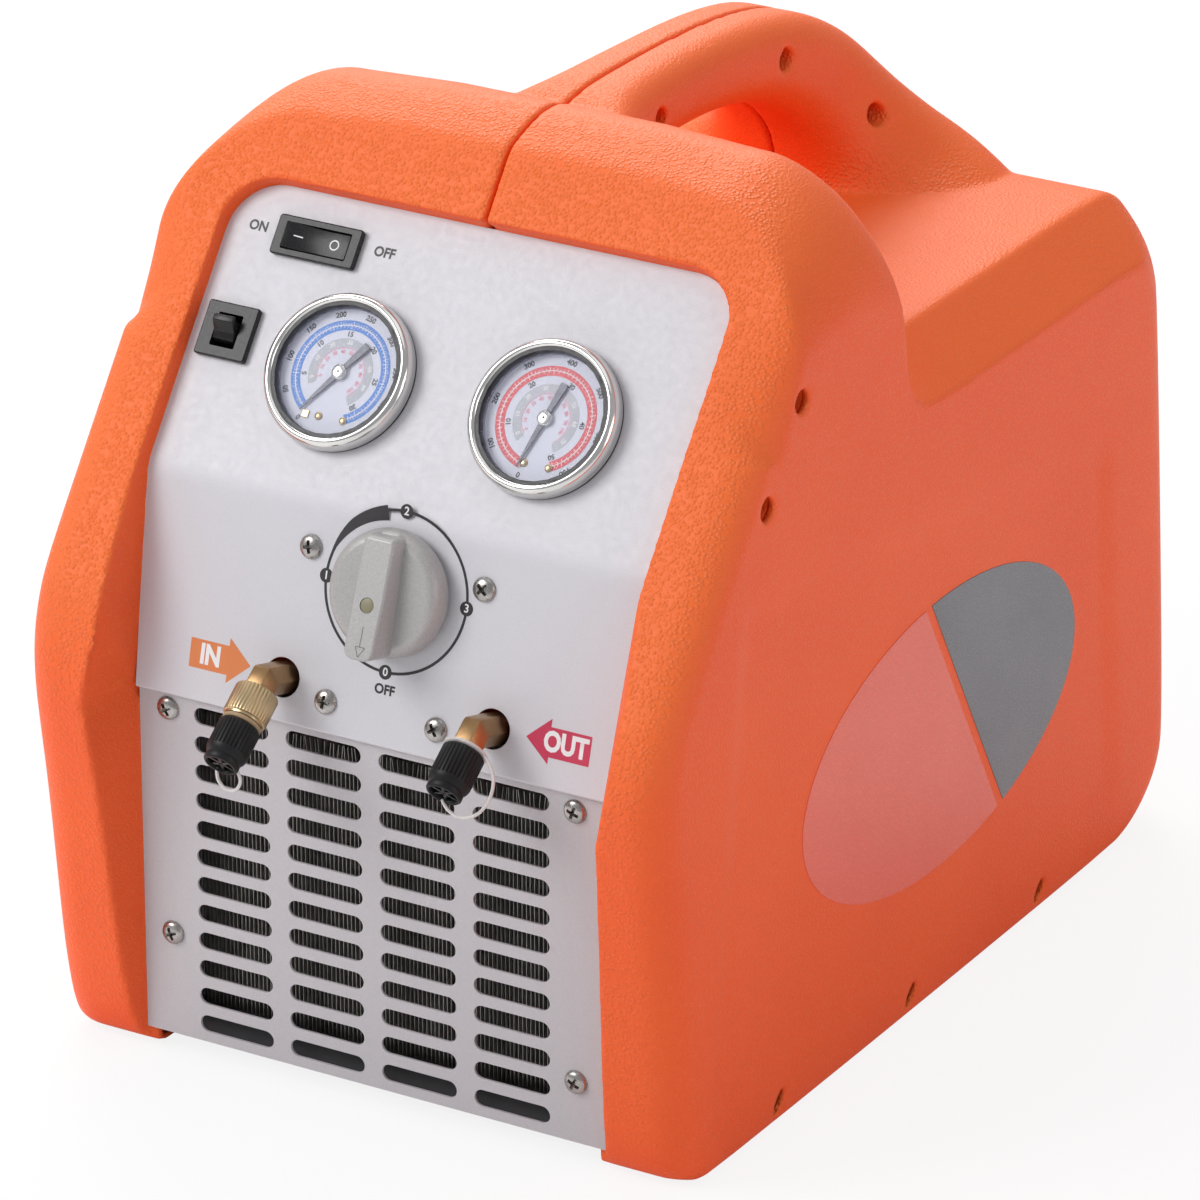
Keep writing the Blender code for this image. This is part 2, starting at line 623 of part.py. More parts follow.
def make_gauges():
    for x, side in zip(GAUGE_XS, ("low", "high")):
        case = [(0.0, 1.6), (22.6, 1.6), (22.6, 6.6), (24.4, 6.6), (24.4, -14.0), (6.0, -15.5),
                (6.0, -24.0), (0.0, -24.0)]
        build_object(side + "_gauge_case", turned(case, 28), "black_metal",
                     upper_frame(x, GAUGE_LENGTH_UP), smooth=True)
        bezel = [(GAUGE_RADIUS, 0.3), (GAUGE_RADIUS, 6.5), (26.6, 8.3), (25.2, 8.8), (23.6, 8.0), (23.6, 7.0),
                 (24.7, 6.9), (24.7, 0.3)]
        build_object(side + "_gauge_bezel", turned(bezel, 28), "polished_steel",
                     upper_frame(x, GAUGE_LENGTH_UP), smooth=True)
        dial = [(1.2, 1.9), (1.2, 2.4), (22.2, 2.4), (22.2, 1.9)]
        build_object(side + "_gauge_dial", turned(dial, 24), "white_dial", upper_frame(x, GAUGE_LENGTH_UP))
        lens = [(0.0, 5.3), (22.3, 5.3), (22.3, 6.5), (0.0, 6.5)]
        build_object(side + "_gauge_lens", turned(lens, 24), "glass", upper_frame(x, GAUGE_LENGTH_UP))
        outline = [(-0.5, 17.5), (-1.6, 3.0), (-2.0, -2.0), (-1.2, -9.5), (1.2, -9.5), (2.0, -2.0), (1.6, 3.0), (0.5, 17.5)]
        angle = math.radians(POINTER_RESTS[side])
        turned_outline = [(a * math.cos(angle) - b * math.sin(angle), a * math.sin(angle) + b * math.cos(angle))
                          for a, b in outline]
        pointer = prism(turned_outline, 3.0, 3.6)
        needle = build_object(side + "_gauge_pointer", pointer, "black_plastic", upper_frame(x, GAUGE_LENGTH_UP))
        hub = build_object("add_hub_" + side, turned([(0.0, 2.6), (2.6, 2.6), (2.6, 4.6), (0.0, 4.6)], 12), "",
                           upper_frame(x, GAUGE_LENGTH_UP), cutter=True)
        boolean(needle, hub, "UNION")


def make_switches():
    width, height = ROCKER_BEZEL
    frame = upper_frame(*ROCKER_AT)
    bezel = build_object("switch_bezel", prism(rounded_rectangle(width, height, 1.0, 2), 0.1, 2.6),
                         "black_plastic", frame)
    neck = build_object("add_switch_body", prism(rounded_rectangle(27.2, 10.4, 0.5, 1), -17.0, 1.0), "", frame,
                        cutter=True)
    hole = build_object("cut_switch_well", prism(rounded_rectangle(24.6, 9.2, 0.4, 1), -7.5, 6.0), "", frame,
                        cutter=True)
    boolean(bezel, neck, "UNION")
    boolean(bezel, hole)
    pivot = frame_from(frame.translation + UPPER_OUT * 0.6, UPPER_UP, (1.0, 0.0, 0.0))
    tilt = math.radians(7.0)
    outline = []
    for x, out in ((-11.8, -1.0), (-9.0, -4.6), (0.0, -6.0), (9.0, -4.6), (11.8, -1.0), (11.6, 2.6), (0.0, 1.9),
                   (-11.6, 2.6)):
        across = x * math.cos(tilt) + out * math.sin(tilt)
        outward = -x * math.sin(tilt) + out * math.cos(tilt)
        outline.append((across, -outward))
    rocker = build_object("switch_rocker", prism(outline, -4.3, 4.3), "black_plastic", pivot, smooth=False)

    width, height = BREAKER_BEZEL
    frame = upper_frame(*BREAKER_AT)
    breaker = build_object("breaker_body", prism(rounded_rectangle(width, height, 0.8, 2), 0.1, 2.4),
                           "black_plastic", frame)
    neck = build_object("add_breaker_body", prism(rounded_rectangle(14.2, 12.4, 0.5, 1), -24.0, 1.0), "", frame,
                        cutter=True)
    hole = build_object("cut_breaker_well", prism(rounded_rectangle(9.0, 9.4, 0.4, 1), -7.0, 6.0), "", frame,
                        cutter=True)
    boolean(breaker, neck, "UNION")
    boolean(breaker, hole)
    outline = [(-3.6, -4.0), (3.6, -4.0), (3.4, 1.6), (2.2, 5.4), (-4.2, 5.8), (-3.9, 1.8)]
    tilt = math.radians(-14.0)
    points = [(a * math.cos(tilt) - b * math.sin(tilt), -a * math.sin(tilt) - b * math.cos(tilt)) for a, b in outline]
    points = [(-b, a) for a, b in points]
    pivot = frame_from(frame.translation - UPPER_OUT * 1.4, (1.0, 0.0, 0.0), UPPER_OUT)
    build_object("breaker_toggle", prism(points, -3.4, 3.4), "black_plastic", pivot)
    return rocker


def make_knob():
    disc = [(0.0, 2.0), (20.5, 2.0), (KNOB_RADIUS, 3.0), (KNOB_RADIUS - 0.6, 7.4), (19.0, 10.0), (0.0, 10.4)]
    knob = build_object("knob", turned(disc, 36), "knob_grey", lower_frame(*KNOB_AT), smooth=True)
    rings = []
    for height, half_width, top, bottom in ((5.0, 7.2, 20.2, -20.8), (14.0, 6.4, 20.4, -21.4), (19.6, 5.4, 20.2, -21.6),
                                            (20.8, 4.2, 18.8, -20.4)):
        outline = [(-half_width, top), (-half_width * 1.06, 0.0), (-half_width * 0.9, bottom + 2.0),
                   (-half_width * 0.55, bottom), (half_width * 0.55, bottom), (half_width * 0.9, bottom + 2.0),
                   (half_width * 1.06, 0.0), (half_width, top)]
        rings.append([(a, b, height) for a, b in outline])
    bar = build_object("add_knob_bar", loft(rings), "", lower_frame(*KNOB_AT), cutter=True)
    boolean(knob, bar, "UNION")
    stem = [(0.0, 1.7), (4.0, 1.7), (4.0, -12.0), (0.0, -12.0)]
    build_object("valve_stem", turned(stem, 12), "steel", lower_frame(*KNOB_AT), smooth=True)
    block = [(-26.0, -22.0), (26.0, -22.0), (26.0, 22.0), (-26.0, 22.0)]
    valve = build_object("valve_block", prism(block, -46.0, -5.0), "brass", lower_frame(*KNOB_AT))
    socket = build_object("cut_valve_socket", turned([(0.0, -3.0), (4.3, -3.0), (4.3, -12.3), (0.0, -12.3)], 12), "",
                          lower_frame(*KNOB_AT), cutter=True)
    boolean(valve, socket)


PORT_AXIS = Vector((0.0, -math.cos(PORT_DROP), -math.sin(PORT_DROP)))
ELBOW_OUT = 11.5


def port_frame(x, along):
    """Frame on a port's slanted outlet axis, z pointing out along it."""
    corner = lower_frame(x, PORT_LENGTH_UP, ELBOW_OUT).translation
    return frame_from(corner + PORT_AXIS * along, PORT_AXIS)


def make_elbow(name, x, shoulder):
    base = lower_frame(x, PORT_LENGTH_UP)
    corner = lower_frame(x, PORT_LENGTH_UP, ELBOW_OUT).translation
    points = [base.translation - LOWER_OUT * 20.0, base.translation - LOWER_OUT * 4.0,
              corner - LOWER_OUT * 4.0, corner - LOWER_OUT * 0.7 + PORT_AXIS * 0.7,
              corner + PORT_AXIS * (shoulder - 0.8), corner + PORT_AXIS * (shoulder - 0.2)]
    elbow = build_object(name, tube(points, 5.4, 12), "brass", smooth=True)
    spigot = [(0.0, -4.0), (3.6, -4.0), (3.6, 11.0), (2.6, 13.0), (0.0, 13.0)]
    spigot_body = build_object("add_spigot_" + name, turned(spigot, 12), "", port_frame(x, shoulder), cutter=True)
    boolean(elbow, spigot_body, "UNION")
    nut = [(0.0, -4.4), (9.0, -4.4), (9.0, -SHEET - 0.15), (0.0, -SHEET - 0.15)]
    nut_body = build_object("add_nut_" + name, turned(nut, 12), "", base, cutter=True)
    boolean(elbow, nut_body, "UNION")


def cap_profile(start, length, radius):
    return [(4.0, start), (radius - 0.8, start), (radius, start + 1.2), (radius, start + length - 6.0),
            (radius - 1.8, start + length - 3.4), (radius - 1.8, start + length), (4.3, start + length),
            (4.3, start + length - 2.6), (0.0, start + length - 2.6), (0.0, start + length - 4.2),
            (4.0, start + length - 4.2)]


def knurled(profile, steps, depth):
    """A turned piece whose outer skin carries shallow flutes."""
    bm = turned(profile, steps * 2)
    outer = max(radius for radius, _ in profile)
    for vertex in bm.verts:
        flat = math.hypot(vertex.co.x, vertex.co.y)
        if flat > outer - 0.05:
            angle = math.atan2(vertex.co.y, vertex.co.x)
            if round(angle / (math.pi / steps)) % 2:
                vertex.co.x *= (outer - depth) / outer
                vertex.co.y *= (outer - depth) / outer
    return bm


def make_fittings():
    inlet_x, outlet_x = PORT_XS
    make_elbow("inlet_elbow", inlet_x, 4.4)
    make_elbow("outlet_elbow", outlet_x, 6.3)
    collar = [(4.0, 4.6), (6.6, 4.6), (7.8, 5.6), (7.8, 15.6), (7.0, 16.6), (4.0, 16.6)]
    build_object("inlet_collar", knurled(collar, 16, 0.35), "brass", port_frame(inlet_x, 0.0), smooth=True)
    washer = [(4.0, 16.9), (6.6, 16.9), (6.6, 18.3), (4.0, 18.3)]
    build_object("inlet_washer", turned(washer, 20), "tan_rubber", port_frame(inlet_x, 0.0), smooth=True)
    build_object("inlet_cap", knurled(cap_profile(18.6, 15.8, 7.4), 12, 0.5), "black_plastic",
                 port_frame(inlet_x, 0.0), smooth=True)
    ring = [(4.0, 6.5), (7.2, 6.5), (7.2, 7.6), (4.0, 7.6)]
    build_object("outlet_strap", turned(ring, 20), "clear_strap", port_frame(outlet_x, 0.0), smooth=True)
    build_object("outlet_cap", knurled(cap_profile(7.9, 17.0, 7.5), 12, 0.5), "black_plastic",
                 port_frame(outlet_x, 0.0), smooth=True)


def make_chassis():
    low = WALL + GAP
    high = low + CHASSIS_THICKNESS
    outline = [(8.0, low), (302.0, low), (302.0, 24.0), (300.5, 24.0), (300.5, high), (9.5, high), (9.5, 18.0),
               (8.0, 18.0)]
    build_object("chassis_tray", prism(outline, -112.0, 112.0, "yz"), "steel")


def make_rear():
    top_y, top_z = 345.0, 222.0
    low_y, low_z = 360.0, 36.0
    lean = math.atan2(low_y - top_y, top_z - low_z)
    up = Vector((0.0, -math.sin(lean), math.cos(lean)))
    out = Vector((0.0, math.cos(lean), math.sin(lean)))
    origin = Vector((0.0, low_y, low_z)) - out * (WALL + GAP)
    frame = frame_from(origin, out, (-1.0, 0.0, 0.0))
    outline = rounded_rectangle(192.0, 174.0, 3.0, 2, (0.0, 88.5))
    panel = build_object("rear_panel", prism(outline, -SHEET, 0.0), "silver_sheet", frame)
    parts = []
    for column in range(2):
        for row in range(9):
            centre = ((column - 0.5) * 72.0, 66.0 + row * 11.4)
            parts.append(prism(rounded_rectangle(62.0, 5.6, 2.4, 1, centre), -4.0, 3.0))
    parts.append(prism(rounded_rectangle(27.4, 20.4, 2.0, 2, (52.0, 24.0)), -4.0, 3.0))
    cutter = build_object("cut_rear_slots", joined(parts), "", frame, cutter=True)
    boolean(panel, cutter)
    socket_frame = frame.copy()
    socket_frame.translation = frame.translation + up * 24.0 + Vector((-52.0, 0.0, 0.0))
    inlet = build_object("power_inlet", prism(rounded_rectangle(31.0, 25.0, 3.0, 2), 0.1, 2.6), "black_plastic",
                         socket_frame)
    neck = build_object("add_inlet_body", prism(rounded_rectangle(26.6, 19.6, 2.0, 2), -18.0, 1.0), "",
                        socket_frame, cutter=True)
    well = build_object("cut_inlet_well", prism(rounded_rectangle(22.6, 15.6, 2.4, 2), -14.0, 4.0), "",
                        socket_frame, cutter=True)
    pins = [prism([(x - 1.0, y - 2.0), (x + 1.0, y - 2.0), (x + 1.0, y + 2.0), (x - 1.0, y + 2.0)], -15.5, -6.0)
            for x, y in ((-7.0, 1.2), (0.0, -3.0), (7.0, 1.2))]
    pin_body = build_object("add_inlet_pins", joined(pins), "", socket_frame, cutter=True)
    boolean(inlet, neck, "UNION")
    boolean(inlet, well)
    boolean(inlet, pin_body, "UNION")


def make_condenser():
    low_z, high_z = CONDENSER_Z
    first = -(FIN_COUNT - 1) / 2.0 * FIN_PITCH
    outline = [(first - FIN_THICKNESS / 2.0, high_z)]
    for index in range(FIN_COUNT):
        x = first + index * FIN_PITCH
        outline.append((x - FIN_THICKNESS / 2.0, low_z) if index == 0 else (x - FIN_THICKNESS / 2.0, high_z - 1.0))
        if index:
            outline.append((x - FIN_THICKNESS / 2.0, low_z))
        outline.append((x + FIN_THICKNESS / 2.0, low_z))
        if index < FIN_COUNT - 1:
            outline.append((x + FIN_THICKNESS / 2.0, high_z - 1.0))
    outline.append((-first + FIN_THICKNESS / 2.0, high_z))
    build_object("condenser_fins", prism(outline, CONDENSER_Y[0], CONDENSER_Y[1], "xz"), "fin_black")

    half = -first + FIN_THICKNESS / 2.0 + GAP
    y0, y1 = CONDENSER_Y[0], 43.5
    outline = [(half, y0), (half + SHEET, y0), (half + SHEET, y1 + SHEET), (-half - SHEET, y1 + SHEET),
               (-half - SHEET, y0), (-half, y0), (-half, y1), (half, y1)]
    shroud = build_object("fan_shroud", prism(outline, WALL + GAP + CHASSIS_THICKNESS + 0.1, 133.0), "aluminium")
    hole = build_object("cut_shroud", prism(circle(FAN_RADIUS + 2.5, 28, (0.0, FAN_Z)), 40.0, 48.0, "xz"), "",
                        cutter=True)
    boolean(shroud, hole)

    tube_y = CONDENSER_Y[1] + GAP + 3.2
    reach = half - 12.0
    rows = 7
    pitch = 14.5
    path = []
    for row in range(rows):
        z = 117.0 - row * pitch
        side = 1.0 if row % 2 else -1.0
        path.append(Vector((side * reach, tube_y, z)))
        path.append(Vector((-side * reach, tube_y, z)))
        if row < rows - 1:
            centre = (-side * reach, tube_y, z - pitch / 2.0)
            for index in range(1, 4):
                angle = math.radians(90.0 - 180.0 * index / 4.0)
                path.append(Vector(centre) + Vector((-side * pitch / 2.0 * math.cos(angle), 0.0,
                                                     pitch / 2.0 * math.sin(angle))))
    build_object("condenser_coil", tube(path, 3.2, 6), "copper", smooth=True)


def make_fan():
    centre = Vector((0.0, 56.0, FAN_Z))
    frame = frame_from(centre, (0.0, 1.0, 0.0))
    hub = [(0.0, -6.0), (12.0, -6.0), (14.0, -4.0), (14.0, 6.0), (2.4, 6.0), (2.4, 14.5), (0.0, 14.5)]
    fan = build_object("fan", turned(hub, 20), "black_plastic", frame, smooth=True)
    parts = []
    for blade in range(FAN_BLADES):
        turn = 2.0 * math.pi * blade / FAN_BLADES
        rings = []
        for radius, width, pitch_deg in ((12.5, 9.0, 42.0), (26.0, 13.0, 32.0), (38.0, 16.0, 26.0), (FAN_RADIUS, 16.0, 22.0)):
            pitch = math.radians(pitch_deg)
            ring = []
            for along, thick in ((-1.0, -0.5), (1.0, -0.5), (1.0, 0.5), (-1.0, 0.5)):
                across = along * width * math.cos(pitch) - thick * 1.6 * math.sin(pitch)
                height = along * width * math.sin(pitch) * 0.55 + thick * 1.6 * math.cos(pitch)
                ring.append((radius * math.cos(turn) - across * math.sin(turn),
                             radius * math.sin(turn) + across * math.cos(turn), height))
            rings.append(ring)
        parts.append(loft(rings))
    blades = build_object("add_fan_blades", joined(parts), "", frame, cutter=True)
    boolean(fan, blades, "UNION")

    body = [(0.0, 15.0), (8.0, 15.0), (8.0, 17.0), (24.0, 17.0), (25.0, 19.0), (25.0, 47.0), (24.0, 49.0), (0.0, 49.0)]
    build_object("fan_motor", turned(body, 24), "steel", frame, smooth=True)
    base = WALL + GAP + CHASSIS_THICKNESS + 0.1
    outline = [(105.4, base), (128.0, base), (128.0, base + 2.0), (107.4, base + 2.0), (107.4, 96.0), (105.4, 96.0)]
    build_object("fan_bracket", prism(outline, -18.0, 18.0, "yz"), "steel")


def make_compressor():
    base = WALL + GAP + CHASSIS_THICKNESS + 0.1
    outline = [(136.0, base), (290.0, base), (290.0, 20.0), (284.0, 20.0), (284.0, base + 4.0), (142.0, base + 4.0),
               (142.0, 20.0), (136.0, 20.0)]
    build_object("compressor_base", prism(outline, -48.0, 48.0, "yz"), "black_metal")
    centre_z = 66.0
    crank_frame = frame_from((0.0, 150.0, centre_z), (0.0, 1.0, 0.0))
    crank = [(0.0, 0.0), (38.0, 0.0), (40.0, 3.0), (40.0, 46.0), (38.0, 48.0), (0.0, 48.0)]
    body = build_object("compressor_crankcase", turned(crank, 20), "aluminium", crank_frame, smooth=True)
    foot = build_object("add_crank_foot", box((-36.0, 156.0, base + 4.3), (36.0, 192.0, 50.0)), "", cutter=True)
    column = build_object("add_cylinder", prism(circle(24.0, 20, (0.0, 174.0)), 90.0, 128.0), "", cutter=True)
    boolean(body, foot, "UNION")
    boolean(body, column, "UNION")
    rings = []
    level = 128.3
    profile = []
    for index in range(4):
        profile += [(34.0, level + index * 6.0), (34.0, level + index * 6.0 + 2.4), (26.0, level + index * 6.0 + 2.4),
                    (26.0, level + index * 6.0 + 6.0)]
    profile = [(0.0, level)] + profile[:-2] + [(0.0, profile[-3][1])]
    build_object("compressor_head", turned(profile, 16), "aluminium",
                 frame_from((0.0, 174.0, 0.0), (0.0, 0.0, 1.0)), smooth=False)
    motor = [(0.0, 48.3), (44.0, 48.3), (46.0, 51.0), (46.0, 122.0), (42.0, 127.0), (0.0, 128.0)]
    motor_body = build_object("compressor_motor", turned(motor, 20), "black_metal", crank_frame, smooth=True)
    foot = build_object("add_motor_foot", box((-30.0, 210.0, base + 4.3), (30.0, 268.0, 50.0)), "", cutter=True)
    boolean(motor_body, foot, "UNION")
    capacitor = [(0.0, 0.0), (17.0, 0.0), (18.0, 1.0), (18.0, 72.0), (16.0, 74.0), (0.0, 74.0)]
    build_object("run_capacitor", turned(capacitor, 20), "aluminium",
                 frame_from((82.0, 205.0, base + 18.2), (0.0, 1.0, 0.0)), smooth=True)


def make_pipes():
    valve = lower_frame(*KNOB_AT)
    left = lower_frame(PORT_XS[0], PORT_LENGTH_UP).translation
    right = lower_frame(PORT_XS[1], PORT_LENGTH_UP).translation
    in_start = left - LOWER_OUT * 20.4
    in_end = valve.translation - LOWER_OUT * 30.0 + Vector((-26.4, 0.0, 0.0))
    path = [in_start, in_start - LOWER_OUT * 5.0, in_start - LOWER_OUT * 12.0 + Vector((0.0, 0.0, 4.0)),
            Vector((in_start.x, in_end.y + 4.0, (in_start.z + in_end.z) / 2.0)),
            in_end + Vector((-9.0, 0.0, -3.0)), in_end + Vector((-4.0, 0.0, 0.0)), in_end]
    build_object("inlet_pipe", tube(path, 3.2, 8), "copper", smooth=True)
    out_start = right - LOWER_OUT * 20.4
    out_end = valve.translation - LOWER_OUT * 30.0 + Vector((26.4, 0.0, 0.0))
    path = [out_start, out_start - LOWER_OUT * 5.0, out_start - LOWER_OUT * 12.0 + Vector((0.0, 0.0, 4.0)),
            Vector((out_start.x, out_end.y + 4.0, (out_start.z + out_end.z) / 2.0)),
            out_end + Vector((9.0, 0.0, -3.0)), out_end + Vector((4.0, 0.0, 0.0)), out_end]
    build_object("outlet_pipe", tube(path, 3.2, 8), "copper", smooth=True)
    back = valve.translation - LOWER_OUT * 46.4
    path = [back + Vector((-12.0, 0.0, 0.0)), back - LOWER_OUT * 5.0 + Vector((-12.0, 0.0, 0.0)), back + Vector((-12.0, 16.0, 2.0)),
            Vector((-12.0, 150.0, back.z + 6.0)), Vector((-12.0, 166.0, 178.0)), Vector((-12.0, 168.0, 162.0)), Vector((-12.0, 168.0, 155.4))]
    build_object("suction_pipe", tube(path, 3.2, 8), "copper", smooth=True)
    path = [back + Vector((12.0, 0.0, 0.0)), back - LOWER_OUT * 5.0 + Vector((12.0, 0.0, 0.0)), back + Vector((16.0, 13.0, -2.0)), Vector((34.0, 92.0, 160.0)),
            Vector((60.0, 80.0, 128.0)), Vector((66.0, 60.0, 120.0)), Vector((66.4, 44.0, 117.0 + 7.0))]
    build_object("discharge_pipe", tube(path[:5], 3.2, 8), "copper", smooth=True)


def main():
    clear_scene()
    cutters = front_cutters()
    make_shells(cutters)
    make_control_panel()
    make_grille()
    make_screws()
    make_handle_screws()
    make_gauges()
    make_switches()
    make_knob()
    make_fittings()
    make_chassis()
    make_rear()
    make_condenser()
    make_fan()
    make_compressor()
    make_pipes()


main()
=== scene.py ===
"""Looks of the portable refrigerant recovery machine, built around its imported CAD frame.

Pieces are made in millimetres in the CAD's own layout (y measured from the grille's face,
z from the floor) and turned into metres in the row frame by place_mesh.
"""

import math

import bmesh
import bpy
from mathutils import Matrix, Vector


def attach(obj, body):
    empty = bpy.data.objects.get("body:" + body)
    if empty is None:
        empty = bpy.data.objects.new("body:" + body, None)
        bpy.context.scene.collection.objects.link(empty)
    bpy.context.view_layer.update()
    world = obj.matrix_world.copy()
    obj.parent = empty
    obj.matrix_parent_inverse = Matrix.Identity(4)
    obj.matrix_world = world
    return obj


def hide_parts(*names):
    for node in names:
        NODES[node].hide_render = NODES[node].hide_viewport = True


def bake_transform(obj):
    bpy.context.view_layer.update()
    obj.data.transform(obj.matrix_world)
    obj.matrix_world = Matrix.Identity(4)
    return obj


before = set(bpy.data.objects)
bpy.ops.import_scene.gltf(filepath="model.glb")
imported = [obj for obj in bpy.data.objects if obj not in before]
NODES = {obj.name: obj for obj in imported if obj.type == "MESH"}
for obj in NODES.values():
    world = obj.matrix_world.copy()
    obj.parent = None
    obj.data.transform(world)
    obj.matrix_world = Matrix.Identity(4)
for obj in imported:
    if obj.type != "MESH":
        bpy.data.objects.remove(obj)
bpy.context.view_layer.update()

MM = 0.001
FRONT_SHIFT = -159.86
GAP = 0.3
SHEET = 1.2

# Outer body, as in the CAD
HALF_WIDTH = 125.5
WALL = 3.0
FRONT_NOSE_RADIUS = 14.0
REAR_CORNER_RADIUS = 20.0
HOOD_CORNER_RADIUS = 45.0
BOTTOM_EDGE_RADIUS = 5.0
ROOF_Z = 248.0
HOOD_TOP_Z = 326.5
CHAMFER_START_X = 105.0
MID_GAP = 0.15

# Two control panel sections: lean lines, lengths and plate sizes
LOWER_LEAN = math.radians(15.6)
UPPER_LEAN = math.radians(37.0)
PANEL_BASE = Vector((0.0, -2.2, 137.6))
LOWER_LENGTH = 76.5
UPPER_LENGTH = 103.7
CONTROL_HALF_WIDTH = 98.4
CONTROL_CORNER_RADIUS = 19.0
SHEET_FOOT_HALF = 92.0
FOOT_FLARE = 0.42
FOLD_RADIUS = 24.0
GRILLE_HALF_WIDTH = 92.0
GRILLE_BOTTOM_Z = 8.0
GRILLE_TOP_Z = 139.6
SLOT_LENGTH = 29.6
SLOT_HEIGHT = 6.2
SLOT_ROW_PITCH = 10.56
SLOT_TOP_ROW_Z = 131.2
SLOT_COLUMN_PITCH = 36.7
SLOT_COLUMNS = 4
SLOT_ROWS = 12

# Controls: x and length up the section that carries each
ROCKER_AT = (-61.7, 86.3)
BREAKER_AT = (-84.0, 49.6)
GAUGE_XS = {"low": -36.5, "high": 43.5}
GAUGE_LENGTH_UP = 44.0
KNOB_AT = (3.8, 52.8)
PORT_XS = (-35.4, 46.8)
PORT_LENGTH_UP = 15.3
PORT_HOLE_RADIUS = 6.9
PORT_DROP = math.radians(36.0)
ELBOW_OUT = 11.5
PANEL_SCREWS = ((-30.7, 61.2), (37.0, 60.6), (-17.3, 10.8), (25.9, 10.5))
GRILLE_SCREWS = ((-80.2, 131.5), (80.0, 131.0), (-80.2, 46.9), (80.2, 30.9))
SIDE_HOLES = ((69.9, 261.5), (47.2, 231.3))
HANDLE_HOLES = ((159.0, 311.5), (246.0, 306.0), (292.0, 273.0))
HANDLE_SCREW_X = 12.5
SIDE_WELL_X = 97.0
SCREW_HOLE_RADIUS = 4.2
BOTTOM_NOTCHES = ((59.0, 8.5), (153.1, 8.5), (249.4, 8.5))

SCREW_SEAT = 0.05
REAR_SCREWS = ((-80.0, 14.0), (80.0, 14.0), (-80.0, 158.0), (80.0, 158.0))
REAR_OPENING = (176.0, 160.0)
REAR_OPENING_MIDDLE = (0.0, 124.0)
REAR_SHEET = (192.0, 174.0)
REAR_SHEET_MIDDLE = (0.0, 88.5)
REAR_SLOT = (62.0, 5.6)
REAR_SLOT_PITCH = (72.0, 11.4)
REAR_SLOT_START = 66.0
REAR_SLOT_ROWS = 9
SOCKET_HOLE = (27.4, 20.4)
SOCKET_AT = (52.0, 24.0)
REAR_LOW = Vector((0.0, 360.0, 36.0))
REAR_TOP = Vector((0.0, 345.0, 222.0))
LOWER_UP = Vector((0.0, math.sin(LOWER_LEAN), math.cos(LOWER_LEAN)))
LOWER_OUT = Vector((0.0, -math.cos(LOWER_LEAN), math.sin(LOWER_LEAN)))
UPPER_UP = Vector((0.0, math.sin(UPPER_LEAN), math.cos(UPPER_LEAN)))
UPPER_OUT = Vector((0.0, -math.cos(UPPER_LEAN), math.sin(UPPER_LEAN)))
FOLD_POINT = PANEL_BASE + LOWER_UP * LOWER_LENGTH
PORT_AXIS = Vector((0.0, -math.cos(PORT_DROP), -math.sin(PORT_DROP)))


# Local frames on the faces

def frame_from(origin, z_axis, x_axis=(1.0, 0.0, 0.0)):
    z_axis = Vector(z_axis).normalized()
    x_axis = Vector(x_axis)
    x_axis = (x_axis - z_axis * x_axis.dot(z_axis)).normalized()
    matrix = Matrix((x_axis, z_axis.cross(x_axis), z_axis)).transposed().to_4x4()
    matrix.translation = Vector(origin)
    return matrix


def lower_frame(x, length_up, out=0.0):
    origin = PANEL_BASE + LOWER_UP * length_up + LOWER_OUT * out + Vector((x, 0.0, 0.0))
    return frame_from(origin, LOWER_OUT)


def upper_frame(x, length_up, out=0.0):
    origin = FOLD_POINT + UPPER_UP * length_up + UPPER_OUT * out + Vector((x, 0.0, 0.0))
    return frame_from(origin, UPPER_OUT)


def grille_frame(x, z, out=0.0):
    return frame_from((x, -out, z), (0.0, -1.0, 0.0))


def rear_frame():
    """Rear sheet: origin at its lower middle, x to the left seen from the front, y up, z out."""
    up = (REAR_TOP - REAR_LOW).normalized()
    out = Vector((0.0, up.z, -up.y))
    return frame_from(REAR_LOW - out * (WALL + GAP), out, (-1.0, 0.0, 0.0))


def port_frame(x, along):
    """Frame on a port's slanted outlet axis, z pointing out along it."""
    corner = lower_frame(x, PORT_LENGTH_UP, ELBOW_OUT).translation
    return frame_from(corner + PORT_AXIS * along, PORT_AXIS)


# Mesh helpers, in millimetres

def loft(rings, closed_ends=True, closed_rings=True):
    """Join rings of equal length into one skin."""
    bm = bmesh.new()
    rows = [[bm.verts.new(point) for point in ring] for ring in rings]
    count = len(rows[0])
    last = count if closed_rings else count - 1
    for first, second in zip(rows, rows[1:]):
        for index in range(last):
            after = (index + 1) % count
            bm.faces.new((first[index], first[after], second[after], second[index]))
    if closed_ends:
        bm.faces.new(rows[0])
        bm.faces.new(list(reversed(rows[-1])))
    return bm


def prism(outline, low, high, plane="xy"):
    """Extrude a flat outline: xy along z, yz along x, xz along y."""
    rings = []
    for level in (low, high):
        if plane == "xy":
            rings.append([(a, b, level) for a, b in outline])
        elif plane == "yz":
            rings.append([(level, a, b) for a, b in outline])
        else:
            rings.append([(a, level, b) for a, b in outline])
    return loft(rings)


def box(low, high):
    outline = [(low[0], low[1]), (high[0], low[1]), (high[0], high[1]), (low[0], high[1])]
    return prism(outline, low[2], high[2])


def circle(radius, steps, centre=(0.0, 0.0)):
    points = []
    for index in range(steps):
        angle = 2.0 * math.pi * index / steps
        points.append((centre[0] + radius * math.cos(angle), centre[1] + radius * math.sin(angle)))
    return points


def spun(point, angle):
    """A flat point turned about the origin."""
    across, up = point
    return (across * math.cos(angle) - up * math.sin(angle),
            across * math.sin(angle) + up * math.cos(angle))


